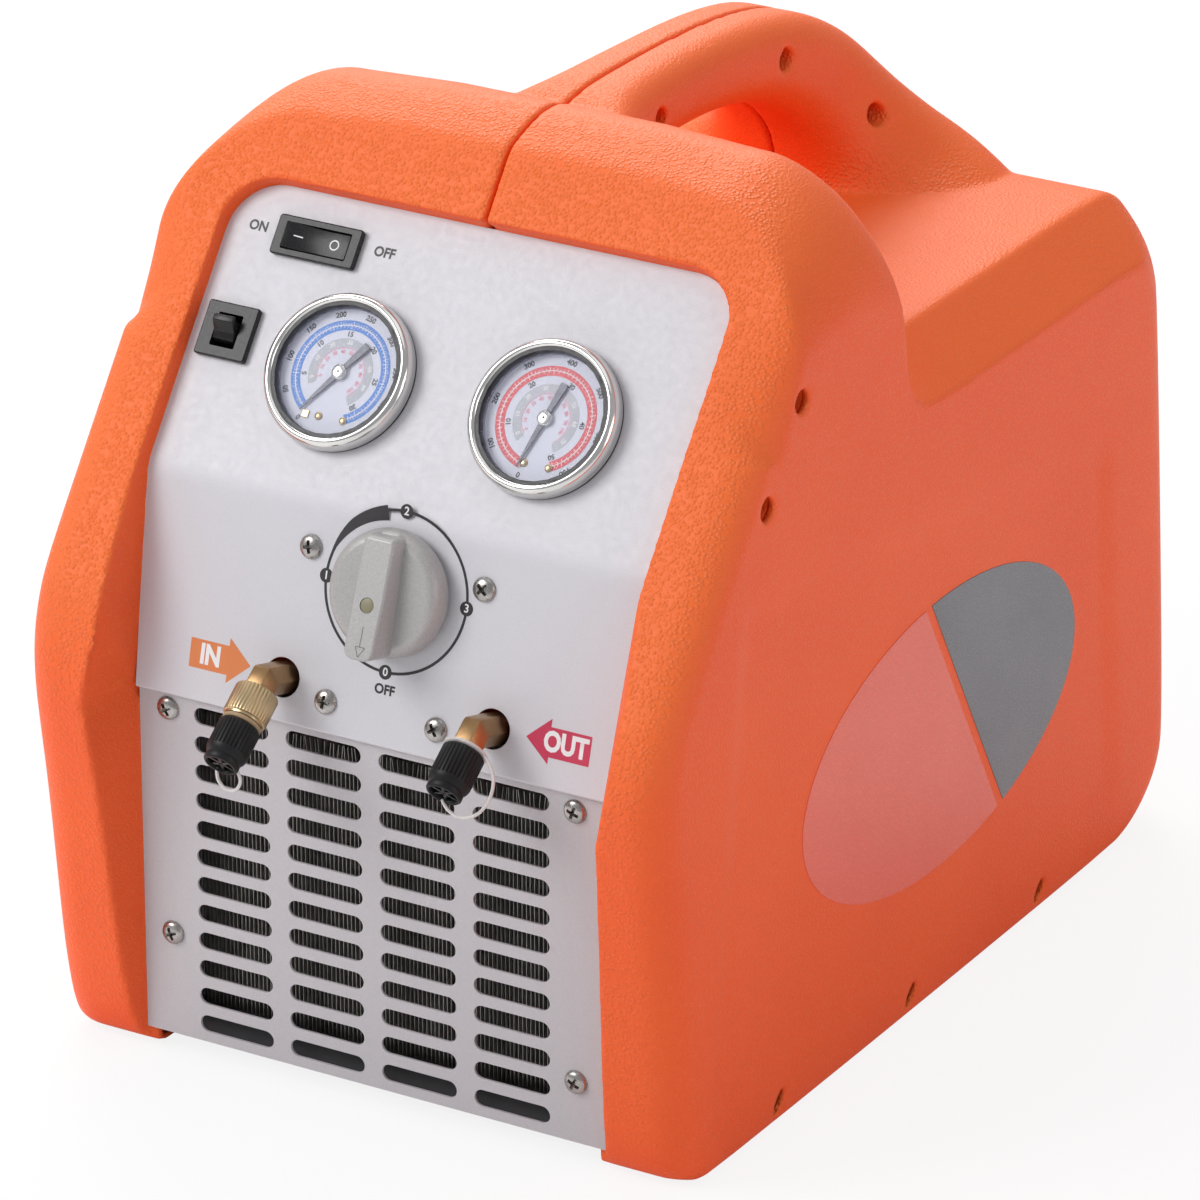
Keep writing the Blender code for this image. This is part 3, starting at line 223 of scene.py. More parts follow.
def rounded_rectangle(width, height, radius, steps=6, centre=(0.0, 0.0)):
    points = []
    for side_x, side_y, start in ((1, 1, 0.0), (-1, 1, 90.0), (-1, -1, 180.0), (1, -1, 270.0)):
        corner_x = centre[0] + side_x * (width / 2.0 - radius)
        corner_y = centre[1] + side_y * (height / 2.0 - radius)
        for index in range(steps + 1):
            angle = math.radians(start + 90.0 * index / steps)
            points.append((corner_x + radius * math.cos(angle), corner_y + radius * math.sin(angle)))
    return points


def turned(profile, steps):
    """Revolve (radius, height) points about z; zero radii close the ends."""
    bm = bmesh.new()
    rows = []
    for radius, height in profile:
        if radius < 0.0005:
            rows.append([bm.verts.new((0.0, 0.0, height))])
        else:
            rows.append([bm.verts.new((x, y, height)) for x, y in circle(radius, steps)])
    pairs = list(zip(rows, rows[1:]))
    if profile[0][0] >= 0.0005:
        pairs.append((rows[-1], rows[0]))
    for first, second in pairs:
        for index in range(steps):
            after = (index + 1) % steps
            if len(first) == 1 and len(second) == 1:
                continue
            if len(first) == 1:
                bm.faces.new((first[0], second[index], second[after]))
            elif len(second) == 1:
                bm.faces.new((first[index], first[after], second[0]))
            else:
                bm.faces.new((first[index], first[after], second[after], second[index]))
    return bm


def smooth_path(points, steps):
    """Catmull-Rom points through tuples of numbers, steps to each span."""
    rows = [tuple(point) for point in points]
    rows = [rows[0]] + rows + [rows[-1]]
    found = []
    for index in range(1, len(rows) - 2):
        before, start, end, after = rows[index - 1:index + 3]
        for step in range(steps):
            t = step / steps
            found.append(tuple(
                0.5 * (2.0 * b + (c - a) * t + (2.0 * a - 5.0 * b + 4.0 * c - d) * t * t
                       + (3.0 * b - a - 3.0 * c + d) * t * t * t)
                for a, b, c, d in zip(before, start, end, after)))
    found.append(rows[-2])
    return found


def cut_corners(points, times=2):
    """Round a closed run of number tuples by cutting its corners."""
    for _ in range(times):
        rounded = []
        for first, second in zip(points, points[1:] + points[:1]):
            rounded.append(tuple(0.75 * a + 0.25 * b for a, b in zip(first, second)))
            rounded.append(tuple(0.25 * a + 0.75 * b for a, b in zip(first, second)))
        points = rounded
    return points


def tube(points, radius, steps):
    """Bar swept through points, its section kept square to the path."""
    path = [Vector(point) for point in points]
    rings = []
    side = None
    for index, point in enumerate(path):
        heading = (path[min(index + 1, len(path) - 1)] - path[max(index - 1, 0)]).normalized()
        if side is None:
            guess = Vector((1.0, 0.0, 0.0)) if abs(heading.x) < 0.8 else Vector((0.0, 0.0, 1.0))
            side = (guess - heading * guess.dot(heading)).normalized()
        else:
            side = (side - heading * side.dot(heading)).normalized()
        across = heading.cross(side)
        ring = []
        for step in range(steps):
            angle = 2.0 * math.pi * step / steps
            ring.append(point + side * radius * math.cos(angle) + across * radius * math.sin(angle))
        rings.append(ring)
    return loft(rings)


def merged(parts):
    """Several pieces in one bmesh; each part is freed."""
    bm = bmesh.new()
    for part in parts:
        mesh = bpy.data.meshes.new("merge_part")
        part.to_mesh(mesh)
        part.free()
        bm.from_mesh(mesh)
        bpy.data.meshes.remove(mesh)
    return bm


def moved(bm, matrix):
    bm.transform(matrix)
    return bm


def to_row_frame():
    return Matrix.Scale(MM, 4) @ Matrix.Translation((0.0, FRONT_SHIFT, 0.0))


def added(name, data):
    """A new object in the scene."""
    item = bpy.data.objects.new(name, data)
    bpy.context.scene.collection.objects.link(item)
    return item


def place_mesh(name, bm, local=None, smooth=True, sharp=38.0):
    """An object at the origin whose mesh is in metres in the row frame."""
    bmesh.ops.remove_doubles(bm, verts=bm.verts, dist=0.0005)
    bmesh.ops.recalc_face_normals(bm, faces=bm.faces)
    if local is not None:
        bm.transform(local)
    bm.transform(to_row_frame())
    mesh = bpy.data.meshes.new(name)
    bm.to_mesh(mesh)
    bm.free()
    shade(mesh, smooth, sharp)
    return added(name, mesh)


def shade(mesh, smooth=True, sharp=38.0):
    for polygon in mesh.polygons:
        polygon.use_smooth = smooth
    if smooth:
        mesh.set_sharp_from_angle(angle=math.radians(sharp))


def bevelled(item, width, segments=3, angle=30.0):
    modifier = item.modifiers.new("edge_round", "BEVEL")
    modifier.width = width * MM
    modifier.segments = segments
    modifier.limit_method = "ANGLE"
    modifier.angle_limit = math.radians(angle)
    return item


def flat_normals(item, sharp=30.0):
    """Smooth shading whose large flat faces keep their own direction."""
    shade(item.data, True, sharp)
    modifier = item.modifiers.new("even_normals", "WEIGHTED_NORMAL")
    modifier.keep_sharp = True
    modifier.weight = 80
    return baked(item)


def baked(item):
    """Apply every modifier to the item's own mesh."""
    bpy.context.view_layer.update()
    graph = bpy.context.evaluated_depsgraph_get()
    mesh = bpy.data.meshes.new_from_object(item.evaluated_get(graph))
    old = item.data
    item.modifiers.clear()
    item.data = mesh
    bpy.data.meshes.remove(old)
    mesh.name = item.name
    return item


def carve(item, cutters, operation="DIFFERENCE"):
    """Boolean by cutter objects, applied, with the cutters removed afterwards."""
    for cutter in cutters:
        modifier = item.modifiers.new("carve", "BOOLEAN")
        modifier.operation = operation
        modifier.solver = "EXACT"
        modifier.object = cutter
    baked(item)
    for cutter in cutters:
        bpy.data.objects.remove(cutter, do_unlink=True)
    return item


def dress(item, key):
    item.data.materials.clear()
    item.data.materials.append(MATERIALS[key])


def finished(item, key, node=None, body="housing"):
    """Dress a piece, attach it to the body that carries it and hide the CAD node it stands for."""
    dress(item, key)
    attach(item, body)
    if node:
        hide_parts(node)
    return item


def add_piece(name, bm, place, key, node=None, body="housing"):
    return finished(place_mesh(name, bm, place), key, node, body)


# Materials

def new_material(name):
    """Material, its node tree and its main shader."""
    material = bpy.data.materials.new(name)
    material.use_nodes = True
    tree = material.node_tree
    return material, tree, tree.nodes["Principled BSDF"]


def add_node(tree, kind, **settings):
    node = tree.nodes.new(kind)
    for key, value in settings.items():
        if key in node.inputs:
            node.inputs[key].default_value = value
        else:
            setattr(node, key, value)
    return node


def set_values(node, values):
    for name, value in values.items():
        node.inputs[name].default_value = value


def noise(tree, scale, detail=3.0, roughness=0.5):
    coordinates = add_node(tree, "ShaderNodeTexCoord")
    texture = add_node(tree, "ShaderNodeTexNoise", Scale=scale, Detail=detail, Roughness=roughness)
    tree.links.new(coordinates.outputs["Object"], texture.inputs["Vector"])
    return texture.outputs["Fac"]


def ranged(tree, value, low, high, from_low=0.3, from_high=0.7):
    node = add_node(tree, "ShaderNodeMapRange")
    set_values(node, {"From Min": from_low, "From Max": from_high, "To Min": low, "To Max": high})
    tree.links.new(value, node.inputs["Value"])
    return node.outputs["Result"]


def mixed_color(tree, share, first, second):
    node = add_node(tree, "ShaderNodeMix", data_type="RGBA")
    colors = [socket for socket in node.inputs if socket.type == "RGBA"]
    for socket, color in zip(colors, (first, second)):
        if isinstance(color, bpy.types.NodeSocket):
            tree.links.new(color, socket)
        else:
            socket.default_value = (*color, 1.0)
    tree.links.new(share, node.inputs["Factor"])
    return [socket for socket in node.outputs if socket.type == "RGBA"][0]


def tint(tree, shader, pattern, color, second):
    """Base colour that follows a pattern from one colour to the second."""
    base = mixed_color(tree, ranged(tree, pattern, 0.0, 1.0), color, second)
    tree.links.new(base, shader.inputs["Base Color"])


def roughen(tree, shader, pattern, low, high):
    tree.links.new(ranged(tree, pattern, low, high), shader.inputs["Roughness"])


def bump(tree, shader, height, depth, strength=1.0):
    node = add_node(tree, "ShaderNodeBump", Strength=strength, Distance=depth * MM)
    tree.links.new(height, node.inputs["Height"])
    tree.links.new(node.outputs["Normal"], shader.inputs["Normal"])
    return node


def surface(name, color, second, rough, metallic=0.0, tint_scale=40.0, grain_scale=900.0,
            grain_depth=0.02, specular=0.5):
    """Two close colours in soft patches, roughness that varies, and a fine grain."""
    material, tree, shader = new_material(name)
    patches = noise(tree, tint_scale, 4.0)
    tint(tree, shader, patches, color, second)
    grain = noise(tree, grain_scale, 2.0)
    roughen(tree, shader, grain, rough[0], rough[1])
    set_values(shader, {"Metallic": metallic, "Specular IOR Level": specular})
    if grain_depth:
        bump(tree, shader, grain, grain_depth)
    return material


def shell_plastic():
    """Orange moulded skin: coarse pebbles on the front frame, fine leather grain elsewhere; pebble crowns
    carry grain tone with painted glints, up-facing faces painted sheen.
    """
    material, tree, shader = new_material("orange_moulded_plastic")
    coordinates = add_node(tree, "ShaderNodeTexCoord")
    patches = noise(tree, 14.0, 4.0)
    body = mixed_color(tree, ranged(tree, patches, 0.0, 1.0), (0.88, 0.094, 0.013), (0.92, 0.110, 0.016))

    heights = []
    for scale, smoothness in ((760.0, 0.18), (1100.0, 0.4)):
        cells = add_node(tree, "ShaderNodeTexVoronoi", feature="SMOOTH_F1", Scale=scale,
                         Smoothness=smoothness, Randomness=0.9)
        tree.links.new(coordinates.outputs["Object"], cells.inputs["Vector"])
        heights.append(ranged(tree, cells.outputs["Distance"], 1.0, 0.0, 0.05, 0.62))
    geometry = add_node(tree, "ShaderNodeNewGeometry")
    facing = add_node(tree, "ShaderNodeVectorMath", operation="DOT_PRODUCT")
    facing.inputs[1].default_value = tuple(UPPER_OUT)
    tree.links.new(geometry.outputs["True Normal"], facing.inputs[0])
    front_share = ranged(tree, facing.outputs["Value"], 0.0, 1.0, 0.45, 0.8)
    pebble = mixed_value(tree, front_share, heights[1], heights[0])

    # Pebble crowns painted paler and yellower: partly grain tone, partly painted glints on the bump tops.
    grain_and_glint_crowns = mixed_color(tree, ranged(tree, pebble, 0.0, 0.35, 0.3, 1.0), body, (0.96, 0.20, 0.045))
    # Faces turned up and to the front are painted paler: painted sheen and light from above, not the
    # plastic's own colour.
    skyward = add_node(tree, "ShaderNodeVectorMath", operation="DOT_PRODUCT")
    skyward.inputs[1].default_value = (0.0, -0.45, 0.89)
    tree.links.new(geometry.outputs["True Normal"], skyward.inputs[0])
    painted_light_share = ranged(tree, skyward.outputs["Value"], 0.0, 0.36, 0.15, 0.85)
    painted_sheen_color = mixed_color(tree, painted_light_share, grain_and_glint_crowns, (0.96, 0.27, 0.06))
    tree.links.new(painted_sheen_color, shader.inputs["Base Color"])
    tree.links.new(ranged(tree, pebble, 0.52, 0.40, 0.1, 0.9), shader.inputs["Roughness"])
    shader.inputs["Specular IOR Level"].default_value = 0.36
    relief = mixed_value(tree, front_share, ranged(tree, heights[1], 0.0, 0.38, 0.0, 1.0), heights[0])
    bump(tree, shader, relief, 0.42, 1.0)
    return material


def mixed_value(tree, share, first, second):
    node = add_node(tree, "ShaderNodeMix", data_type="FLOAT")
    values = [socket for socket in node.inputs if socket.type == "VALUE" and socket.name in "AB"]
    tree.links.new(first, values[0])
    tree.links.new(second, values[1])
    tree.links.new(share, node.inputs["Factor"])
    return [socket for socket in node.outputs if socket.type == "VALUE"][0]


def satin_sheet(name, color, second):
    """Silver powder coat: metallic flake speckle and a faint orange-peel surface."""
    material, tree, shader = new_material(name)
    flakes = noise(tree, 2600.0, 2.0, 0.7)
    tint(tree, shader, flakes, color, second)
    peel = noise(tree, 420.0, 3.0)
    roughen(tree, shader, peel, 0.40, 0.52)
    set_values(shader, {"Metallic": 0.02, "Specular IOR Level": 0.5})
    bump(tree, shader, flakes, 0.012, 0.6)
    return material


def machined_metal(name, color, second, rough, line_scale=900.0, line_depth=0.02):
    """Metal with fine turning lines and slight tarnish."""
    material, tree, shader = new_material(name)
    tarnish = noise(tree, 130.0, 5.0, 0.6)
    tint(tree, shader, tarnish, color, second)
    roughen(tree, shader, tarnish, rough[0], rough[1])
    shader.inputs["Metallic"].default_value = 1.0
    coordinates = add_node(tree, "ShaderNodeTexCoord")
    stretch = add_node(tree, "ShaderNodeMapping")
    stretch.inputs["Scale"].default_value = (0.08, 1.0, 1.0)
    lines = add_node(tree, "ShaderNodeTexNoise", Scale=line_scale, Detail=2.0)
    tree.links.new(coordinates.outputs["Object"], stretch.inputs["Vector"])
    tree.links.new(stretch.outputs["Vector"], lines.inputs["Vector"])
    bump(tree, shader, lines.outputs["Fac"], line_depth, 0.5)
    return material


def clear_glass():
    """Clear window: see-through where it faces the light, glossy at its rim."""
    material, tree, shader = new_material("clear_window")
    set_values(shader, {"Base Color": (0.62, 0.66, 0.86, 1.0), "Alpha": 0.045, "Specular IOR Level": 0.4})
    smear = noise(tree, 90.0, 3.0)
    roughen(tree, shader, smear, 0.02, 0.07)
    return material


def translucent_plastic():
    material, tree, shader = new_material("milky_strap_plastic")
    cloud = noise(tree, 240.0, 3.0)
    tint(tree, shader, cloud, (0.83, 0.80, 0.78), (0.74, 0.70, 0.68))
    roughen(tree, shader, cloud, 0.22, 0.38)
    shader.inputs["Alpha"].default_value = 0.72
    return material


def printed_ink(name, color, second):
    return surface(name, color, second, (0.4, 0.5), tint_scale=60.0, grain_scale=1500.0, grain_depth=0.0)


def label_film(name, color, second):
    return surface(name, color, second, (0.20, 0.30), tint_scale=30.0, grain_scale=1600.0,
                   grain_depth=0.006)


def make_materials():
    return {
        "shell": shell_plastic(),
        "panel": satin_sheet("silver_control_sheet", (0.66, 0.65, 0.685), (0.60, 0.59, 0.625)),
        # The grille and rear sheets' silver is darker and pinker than the control sheet's: painted shade on
        # the same paint.
        "grille": satin_sheet("shaded_silver_grille_sheet", (0.55, 0.525, 0.545), (0.48, 0.46, 0.48)),
        "chrome": surface("polished_bezel_steel", (0.78, 0.77, 0.75), (0.66, 0.65, 0.63), (0.08, 0.17), 1.0,
                          grain_scale=500.0, grain_depth=0.0),
        "screw": surface("nickel_screw_steel", (0.47, 0.45, 0.43), (0.36, 0.345, 0.33), (0.22, 0.36), 1.0,
                         tint_scale=300.0, grain_scale=1400.0, grain_depth=0.01),
        "black": surface("black_moulded_plastic", (0.010, 0.010, 0.011), (0.017, 0.017, 0.018),
                         (0.36, 0.46), grain_scale=1800.0, grain_depth=0.01, specular=0.22),
        "gloss_black": surface("black_rocker_plastic", (0.008, 0.008, 0.009), (0.014, 0.014, 0.015),
                               (0.24, 0.32), grain_scale=1200.0, grain_depth=0.006, specular=0.32),
        "case": surface("black_case_paint", (0.02, 0.02, 0.022), (0.035, 0.035, 0.038), (0.32, 0.44), 0.3,
                        grain_scale=1100.0, grain_depth=0.02),
        "brass": machined_metal("machined_brass", (0.40, 0.25, 0.12), (0.29, 0.175, 0.085), (0.30, 0.44)),
        "gold": machined_metal("knurled_gold_brass", (0.64, 0.50, 0.30), (0.54, 0.40, 0.22), (0.28, 0.38),
                               1500.0, 0.004),
        "washer": surface("tan_sealing_washer", (0.42, 0.29, 0.17), (0.34, 0.23, 0.13), (0.5, 0.65),
                          grain_scale=1500.0),
        "knob": surface("silver_knob_paint", (0.47, 0.455, 0.45), (0.39, 0.38, 0.375), (0.34, 0.46), 0.25,
                        tint_scale=1500.0, grain_scale=2300.0, grain_depth=0.02),
        "khaki": surface("khaki_knob_dot", (0.21, 0.19, 0.115), (0.25, 0.23, 0.14), (0.35, 0.45),
                         grain_depth=0.0),
        "engraving": surface("grey_engraving", (0.16, 0.155, 0.15), (0.20, 0.195, 0.19), (0.5, 0.6),
                             grain_depth=0.0),
        "dial": surface("white_dial_enamel", (0.66, 0.67, 0.76), (0.62, 0.63, 0.73), (0.42, 0.52),
                        tint_scale=60.0, grain_scale=1500.0, grain_depth=0.0),
        "needle": surface("grey_needle_paint", (0.10, 0.10, 0.12), (0.14, 0.14, 0.16), (0.35, 0.45), 0.3,
                          grain_depth=0.0),
        "wall": surface("shaded_gauge_wall", (0.20, 0.20, 0.27), (0.26, 0.26, 0.33), (0.3, 0.4), 0.4,
                        grain_depth=0.0),
        "hub": surface("turned_hub_steel", (0.72, 0.72, 0.70), (0.6, 0.6, 0.58), (0.15, 0.28), 1.0,
                       grain_depth=0.0),
        "glass": clear_glass(),
        "strap": translucent_plastic(),
        "ink_black": printed_ink("black_ink", (0.022, 0.02, 0.024), (0.035, 0.033, 0.037)),
        "ink_blue": printed_ink("blue_ink", (0.045, 0.19, 0.60), (0.06, 0.22, 0.64)),
        "ink_red": printed_ink("red_ink", (0.66, 0.055, 0.07), (0.70, 0.075, 0.085)),
        "ink_grey": printed_ink("grey_ink", (0.42, 0.43, 0.47), (0.46, 0.47, 0.51)),
        "ink_pink": printed_ink("pink_ink", (0.66, 0.16, 0.24), (0.70, 0.20, 0.27)),
        "ink_white": printed_ink("white_ink", (0.84, 0.83, 0.84), (0.80, 0.79, 0.80)),
        "ink_orange": printed_ink("orange_ink", (0.68, 0.20, 0.06), (0.72, 0.23, 0.08)),
        "ink_crimson": printed_ink("crimson_ink", (0.53, 0.03, 0.085), (0.57, 0.045, 0.10)),
        "label": label_film("coral_label_film", (0.80, 0.118, 0.070), (0.83, 0.134, 0.082)),
        "label_dark": label_film("charcoal_label_film", (0.138, 0.133, 0.145), (0.165, 0.160, 0.172)),
        "steel": surface("zinc_plated_steel", (0.50, 0.50, 0.48), (0.38, 0.38, 0.37), (0.3, 0.5), 1.0,
                         tint_scale=90.0, grain_scale=600.0, grain_depth=0.02),
        "aluminium": surface("cast_aluminium", (0.55, 0.56, 0.57), (0.42, 0.43, 0.44), (0.38, 0.6), 1.0,
                             tint_scale=160.0, grain_scale=900.0, grain_depth=0.06),
        "copper": machined_metal("drawn_copper", (0.72, 0.36, 0.20), (0.50, 0.23, 0.13), (0.25, 0.45)),
        "motor": surface("black_motor_enamel", (0.03, 0.03, 0.033), (0.05, 0.05, 0.054), (0.35, 0.55), 0.2,
                         grain_scale=500.0, grain_depth=0.04),
        "fin": surface("coated_fin_foil", (0.44, 0.42, 0.40), (0.30, 0.285, 0.275), (0.30, 0.45), 0.6,
                       tint_scale=200.0, grain_scale=900.0, grain_depth=0.02),
    }


MATERIALS = make_materials()


# Outer shells

# y, z, and the shares of nose, hood corner, crease shift, rear corner, floor edge and roof chamfer
SHELL_PROFILE = (
    (9.0, 0.0, 0.4, 0, 0, 0, 1, 0),
    (1.0, 2.5, 1, 0, 0, 0, 1, 0),
    (-4.5, 9.0, 1, 0, 0, 0, 0, 0),
    (-9.5, 32.0, 1, 0, 0, 0, 0, 0),
    (-13.0, 62.0, 1, 0, 0, 0, 0, 0),
    (-17.0, 98.0, 1, 0, 0, 0, 0, 0),
    (-21.0, 124.0, 1, 0, 0, 0, 0, 0),
    (-23.0, 140.0, 1, 0, 0, 0, 0, 0),
    (-22.8, 154.0, 1, 0, 0, 0, 0, 0),
    (-20.0, 166.0, 1, 0, 0, 0, 0, 0),
    (-14.7, 178.0, 1, 0, 0, 0, 0, 0),
    (7.7, 208.0, 1, 0, 0, 0, 0, 0),
    (86.0, 312.0, 1, 1, 1, 0, 0, 0),
    (90.2, 317.6, 1, 1, 1, 0, 0, 0),
    (93.4, 320.2, 1, 1, 1, 0, 0, 0),
    (99.0, 322.2, 0.8, 1, 0.9, 0, 0, 0),
    (108.0, 325.0, 0.5, 1, 0.6, 0, 0, 0),
    (119.0, 326.5, 0.2, 1, 0.35, 0, 0, 0),
    (130.0, 323.5, 0, 1, 0.12, 0, 0, 0),
    (137.0, 316.0, 0, 1, 0, 0, 0, 0),
    (141.0, 300.0, 0, 1, 0, 0, 0, 0),
    (143.0, 278.0, 0, 1, 0, 0, 0, 0),
    (146.0, 262.0, 0, 1, 0, 0, 0, 0),
    (152.0, 252.5, 0, 1, 0, 0, 0, 1),
    (163.0, 248.0, 0, 0, 0, 0, 0, 1),
    (240.0, 248.0, 0, 0, 0, 0, 0, 1),
    (322.0, 248.0, 0, 0, 0, 0.3, 0, 1),
    (336.0, 243.5, 0, 0, 0, 0.8, 0, 1),
    (342.5, 235.0, 0, 0, 0, 1, 0, 1),
    (345.0, 222.0, 0, 0, 0, 1, 0, 0.7),
    (352.5, 130.0, 0, 0, 0, 1, 0, 0),
    (360.0, 36.0, 0, 0, 0, 1, 0, 0),
    (357.5, 22.0, 0, 0, 0, 1, 0, 0),
    (348.0, 11.0, 0, 0, 0, 1, 0.4, 0),
    (330.0, 3.5, 0, 0, 0, 0.6, 0.8, 0),
    (308.0, 0.0, 0, 0, 0, 0.2, 1, 0),
)
HOLLOW_PROFILE = (
    (4.8, 3.0, 0, 0, 0, 0, 1, 0),
    (4.8, 130.0, 0, 0, 0, 0, 0, 0),
    (5.2, 142.5, 0, 0, 0, 0, 0, 0),
    (22.9, 209.0, 0, 0, 0, 0, 0, 0),
    (84.9, 291.3, 0, 1, 1, 0, 0, 0),
    (99.0, 310.0, 0, 1, 1, 0, 0, 0),
    (108.0, 321.0, 0, 1, 0.6, 0, 0, 0),
    (122.0, 322.0, 0, 1, 0.3, 0, 0, 0),
    (133.0, 314.0, 0, 1, 0, 0, 0, 0),
    (138.0, 299.0, 0, 1, 0, 0, 0, 0),
    (142.0, 266.0, 0, 1, 0, 0, 0, 0),
    (150.0, 248.0, 0, 1, 0, 0, 0, 1),
    (162.0, 245.0, 0, 0, 0, 0, 0, 1),
    (322.0, 245.0, 0, 0, 0, 0.4, 0, 1),
    (336.0, 239.0, 0, 0, 0, 1, 0, 1),
    (342.0, 222.0, 0, 0, 0, 1, 0, 0.7),
    (357.0, 36.0, 0, 0, 0, 1, 0, 0),
    (352.0, 20.0, 0, 0, 0, 1, 0, 0),
    (330.0, 7.0, 0, 0, 0, 0.6, 0, 0),
    (308.0, 3.0, 0, 0, 0, 0.2, 1, 0),
)
# Distances from the mid-plane of the outlines that the outside and the hollow are lofted through
OUTER_STATIONS = (-6.0, 40.0, 75.0, 80.5, 84.0, 88.0, 92.0, 96.0, 100.0, 103.0, 105.5, 108.0, 111.5,
                  114.0, 116.0, 118.0, 119.5, 121.0, 122.0, 123.0, 124.0, 124.7, 125.2, 125.5)
HOLLOW_STATIONS = (-8.0, 80.5, 95.0, 105.0, 112.5, 117.0, 120.0, 121.8, 122.5)

# Handle path: y, z of the middle, half width, half height, heading in degrees
HANDLE_STATIONS = (
    (96.0, 288.0, 60.0, 20.0, 0.0),
    (112.0, 297.0, 46.0, 20.0, 0.0),
    (126.0, 305.5, 32.0, 17.0, 0.0),
    (138.0, 310.0, 25.0, 15.0, 0.0),
    (154.0, 312.0, 21.0, 14.0, 0.0),
    (185.0, 312.0, 19.5, 13.5, -1.0),
    (216.0, 310.0, 19.5, 14.0, -3.0),
    (242.0, 305.5, 20.5, 15.5, -9.0),
    (263.0, 298.0, 22.5, 18.0, -22.0),
    (281.0, 286.0, 26.0, 21.0, -38.0),
    (294.0, 270.0, 34.0, 25.0, -54.0),
    (301.0, 256.0, 48.0, 30.0, -66.0),
    (304.0, 247.5, 64.0, 35.0, -78.0),
    (304.0, 240.0, 80.0, 39.0, -90.0),
)
HANDLE_SUBSTEPS = 4
HANDLE_CORNER_STEPS = 10

# Shape of the hood's corner and fineness of the moulded skin
HOOD_CORNER_POWER = 1.65
HOOD_CROWN = 2.2
SHELL_VOXEL = 1.25
SHELL_SMOOTH_STEPS = 4
SHELL_KEEP = 0.22

# Shallow field pressed into each side wall
FIELD_DEPTH = 1.3
FIELD_BLEND = 13.0


def corner_drop(x, half_width, radius, power=2.0):
    """Fall of a rounded corner: power 2 is a circle, less is nearer to a chamfer."""
    share = min(max(x - (half_width - radius), 0.0), radius) / radius
    return radius * (1.0 - max(1.0 - share ** power, 0.0) ** (1.0 / power))


def step_between(value, low, high):
    share = min(max((value - low) / (high - low), 0.0), 1.0)
    return share * share * (3.0 - 2.0 * share)


def shell_ring(profile, x, half_width, shrink=0.0):
    """One y-z outline of the shell at distance x from the mid-plane."""
    nose = corner_drop(x, half_width, FRONT_NOSE_RADIUS)
    rear = corner_drop(x, half_width, REAR_CORNER_RADIUS - shrink)
    hood = corner_drop(x, half_width, HOOD_CORNER_RADIUS - shrink, HOOD_CORNER_POWER)
    hood += HOOD_CROWN * step_between(x, 35.0, 85.0)
    floor = corner_drop(x, half_width, BOTTOM_EDGE_RADIUS)
    chamfer = max(x - CHAMFER_START_X, 0.0)
    tall = HOOD_TOP_Z - ROOF_Z
    roof_level = ROOF_Z - chamfer
    ring = []
    for y, z, nose_share, hood_share, crease_share, rear_share, floor_share, roof_share in profile:
        new_z = z
        if hood_share > 0.5:
            share = (z - ROOF_Z) / tall
            new_z = roof_level + share * (tall - hood + chamfer)
        elif roof_share:
            new_z = z - chamfer * roof_share
        new_y = y - crease_share * (z - new_z) * math.tan(UPPER_LEAN)
        new_y += nose_share * nose - rear_share * rear
        ring.append((x, new_y, new_z + floor_share * floor))
    return ring


def half_body(side, profile, stations, half_width, shrink=0.0):
    """One side's loft through the outlines at all stations."""
    return loft([[(side * x, y, z) for x, y, z in shell_ring(profile, station, half_width, shrink)]
                 for station in stations])


def handle_body(side):
    """One half of the arched handle: a rounded section swept along its path."""
    rings = []
    for y, z, half_width, half_height, heading in smooth_path(HANDLE_STATIONS, HANDLE_SUBSTEPS):
        angle = math.radians(heading)
        up = Vector((0.0, -math.sin(angle), math.cos(angle)))
        radius = min(half_height * 0.86, half_width * 0.6)
        points = [(-6.0, half_height)]
        for side_z, start in ((1.0, 90.0), (-1.0, 0.0)):
            for index in range(HANDLE_CORNER_STEPS + 1):
                turn = math.radians(start - 90.0 * index / HANDLE_CORNER_STEPS)
                points.append((half_width - radius + radius * math.cos(turn),
                               side_z * (half_height - radius) + radius * math.sin(turn)))
        points.append((-6.0, -half_height))
        rings.append([Vector((side * across, y, z)) + up * height for across, height in points])
    return loft(rings)


def section_line(offset, lower_start=0.0, upper_end=UPPER_LENGTH):
    """The two-section panel line in y and z, moved out of its face by offset."""
    start = PANEL_BASE + LOWER_UP * lower_start + LOWER_OUT * offset
    half_turn = (UPPER_LEAN - LOWER_LEAN) / 2.0
    middle_out = (LOWER_OUT + UPPER_OUT).normalized()
    fold = FOLD_POINT + middle_out * (offset / math.cos(half_turn))
    end = FOLD_POINT + UPPER_UP * upper_end + UPPER_OUT * offset
    return [(start.y, start.z), (fold.y, fold.z), (end.y, end.z)]


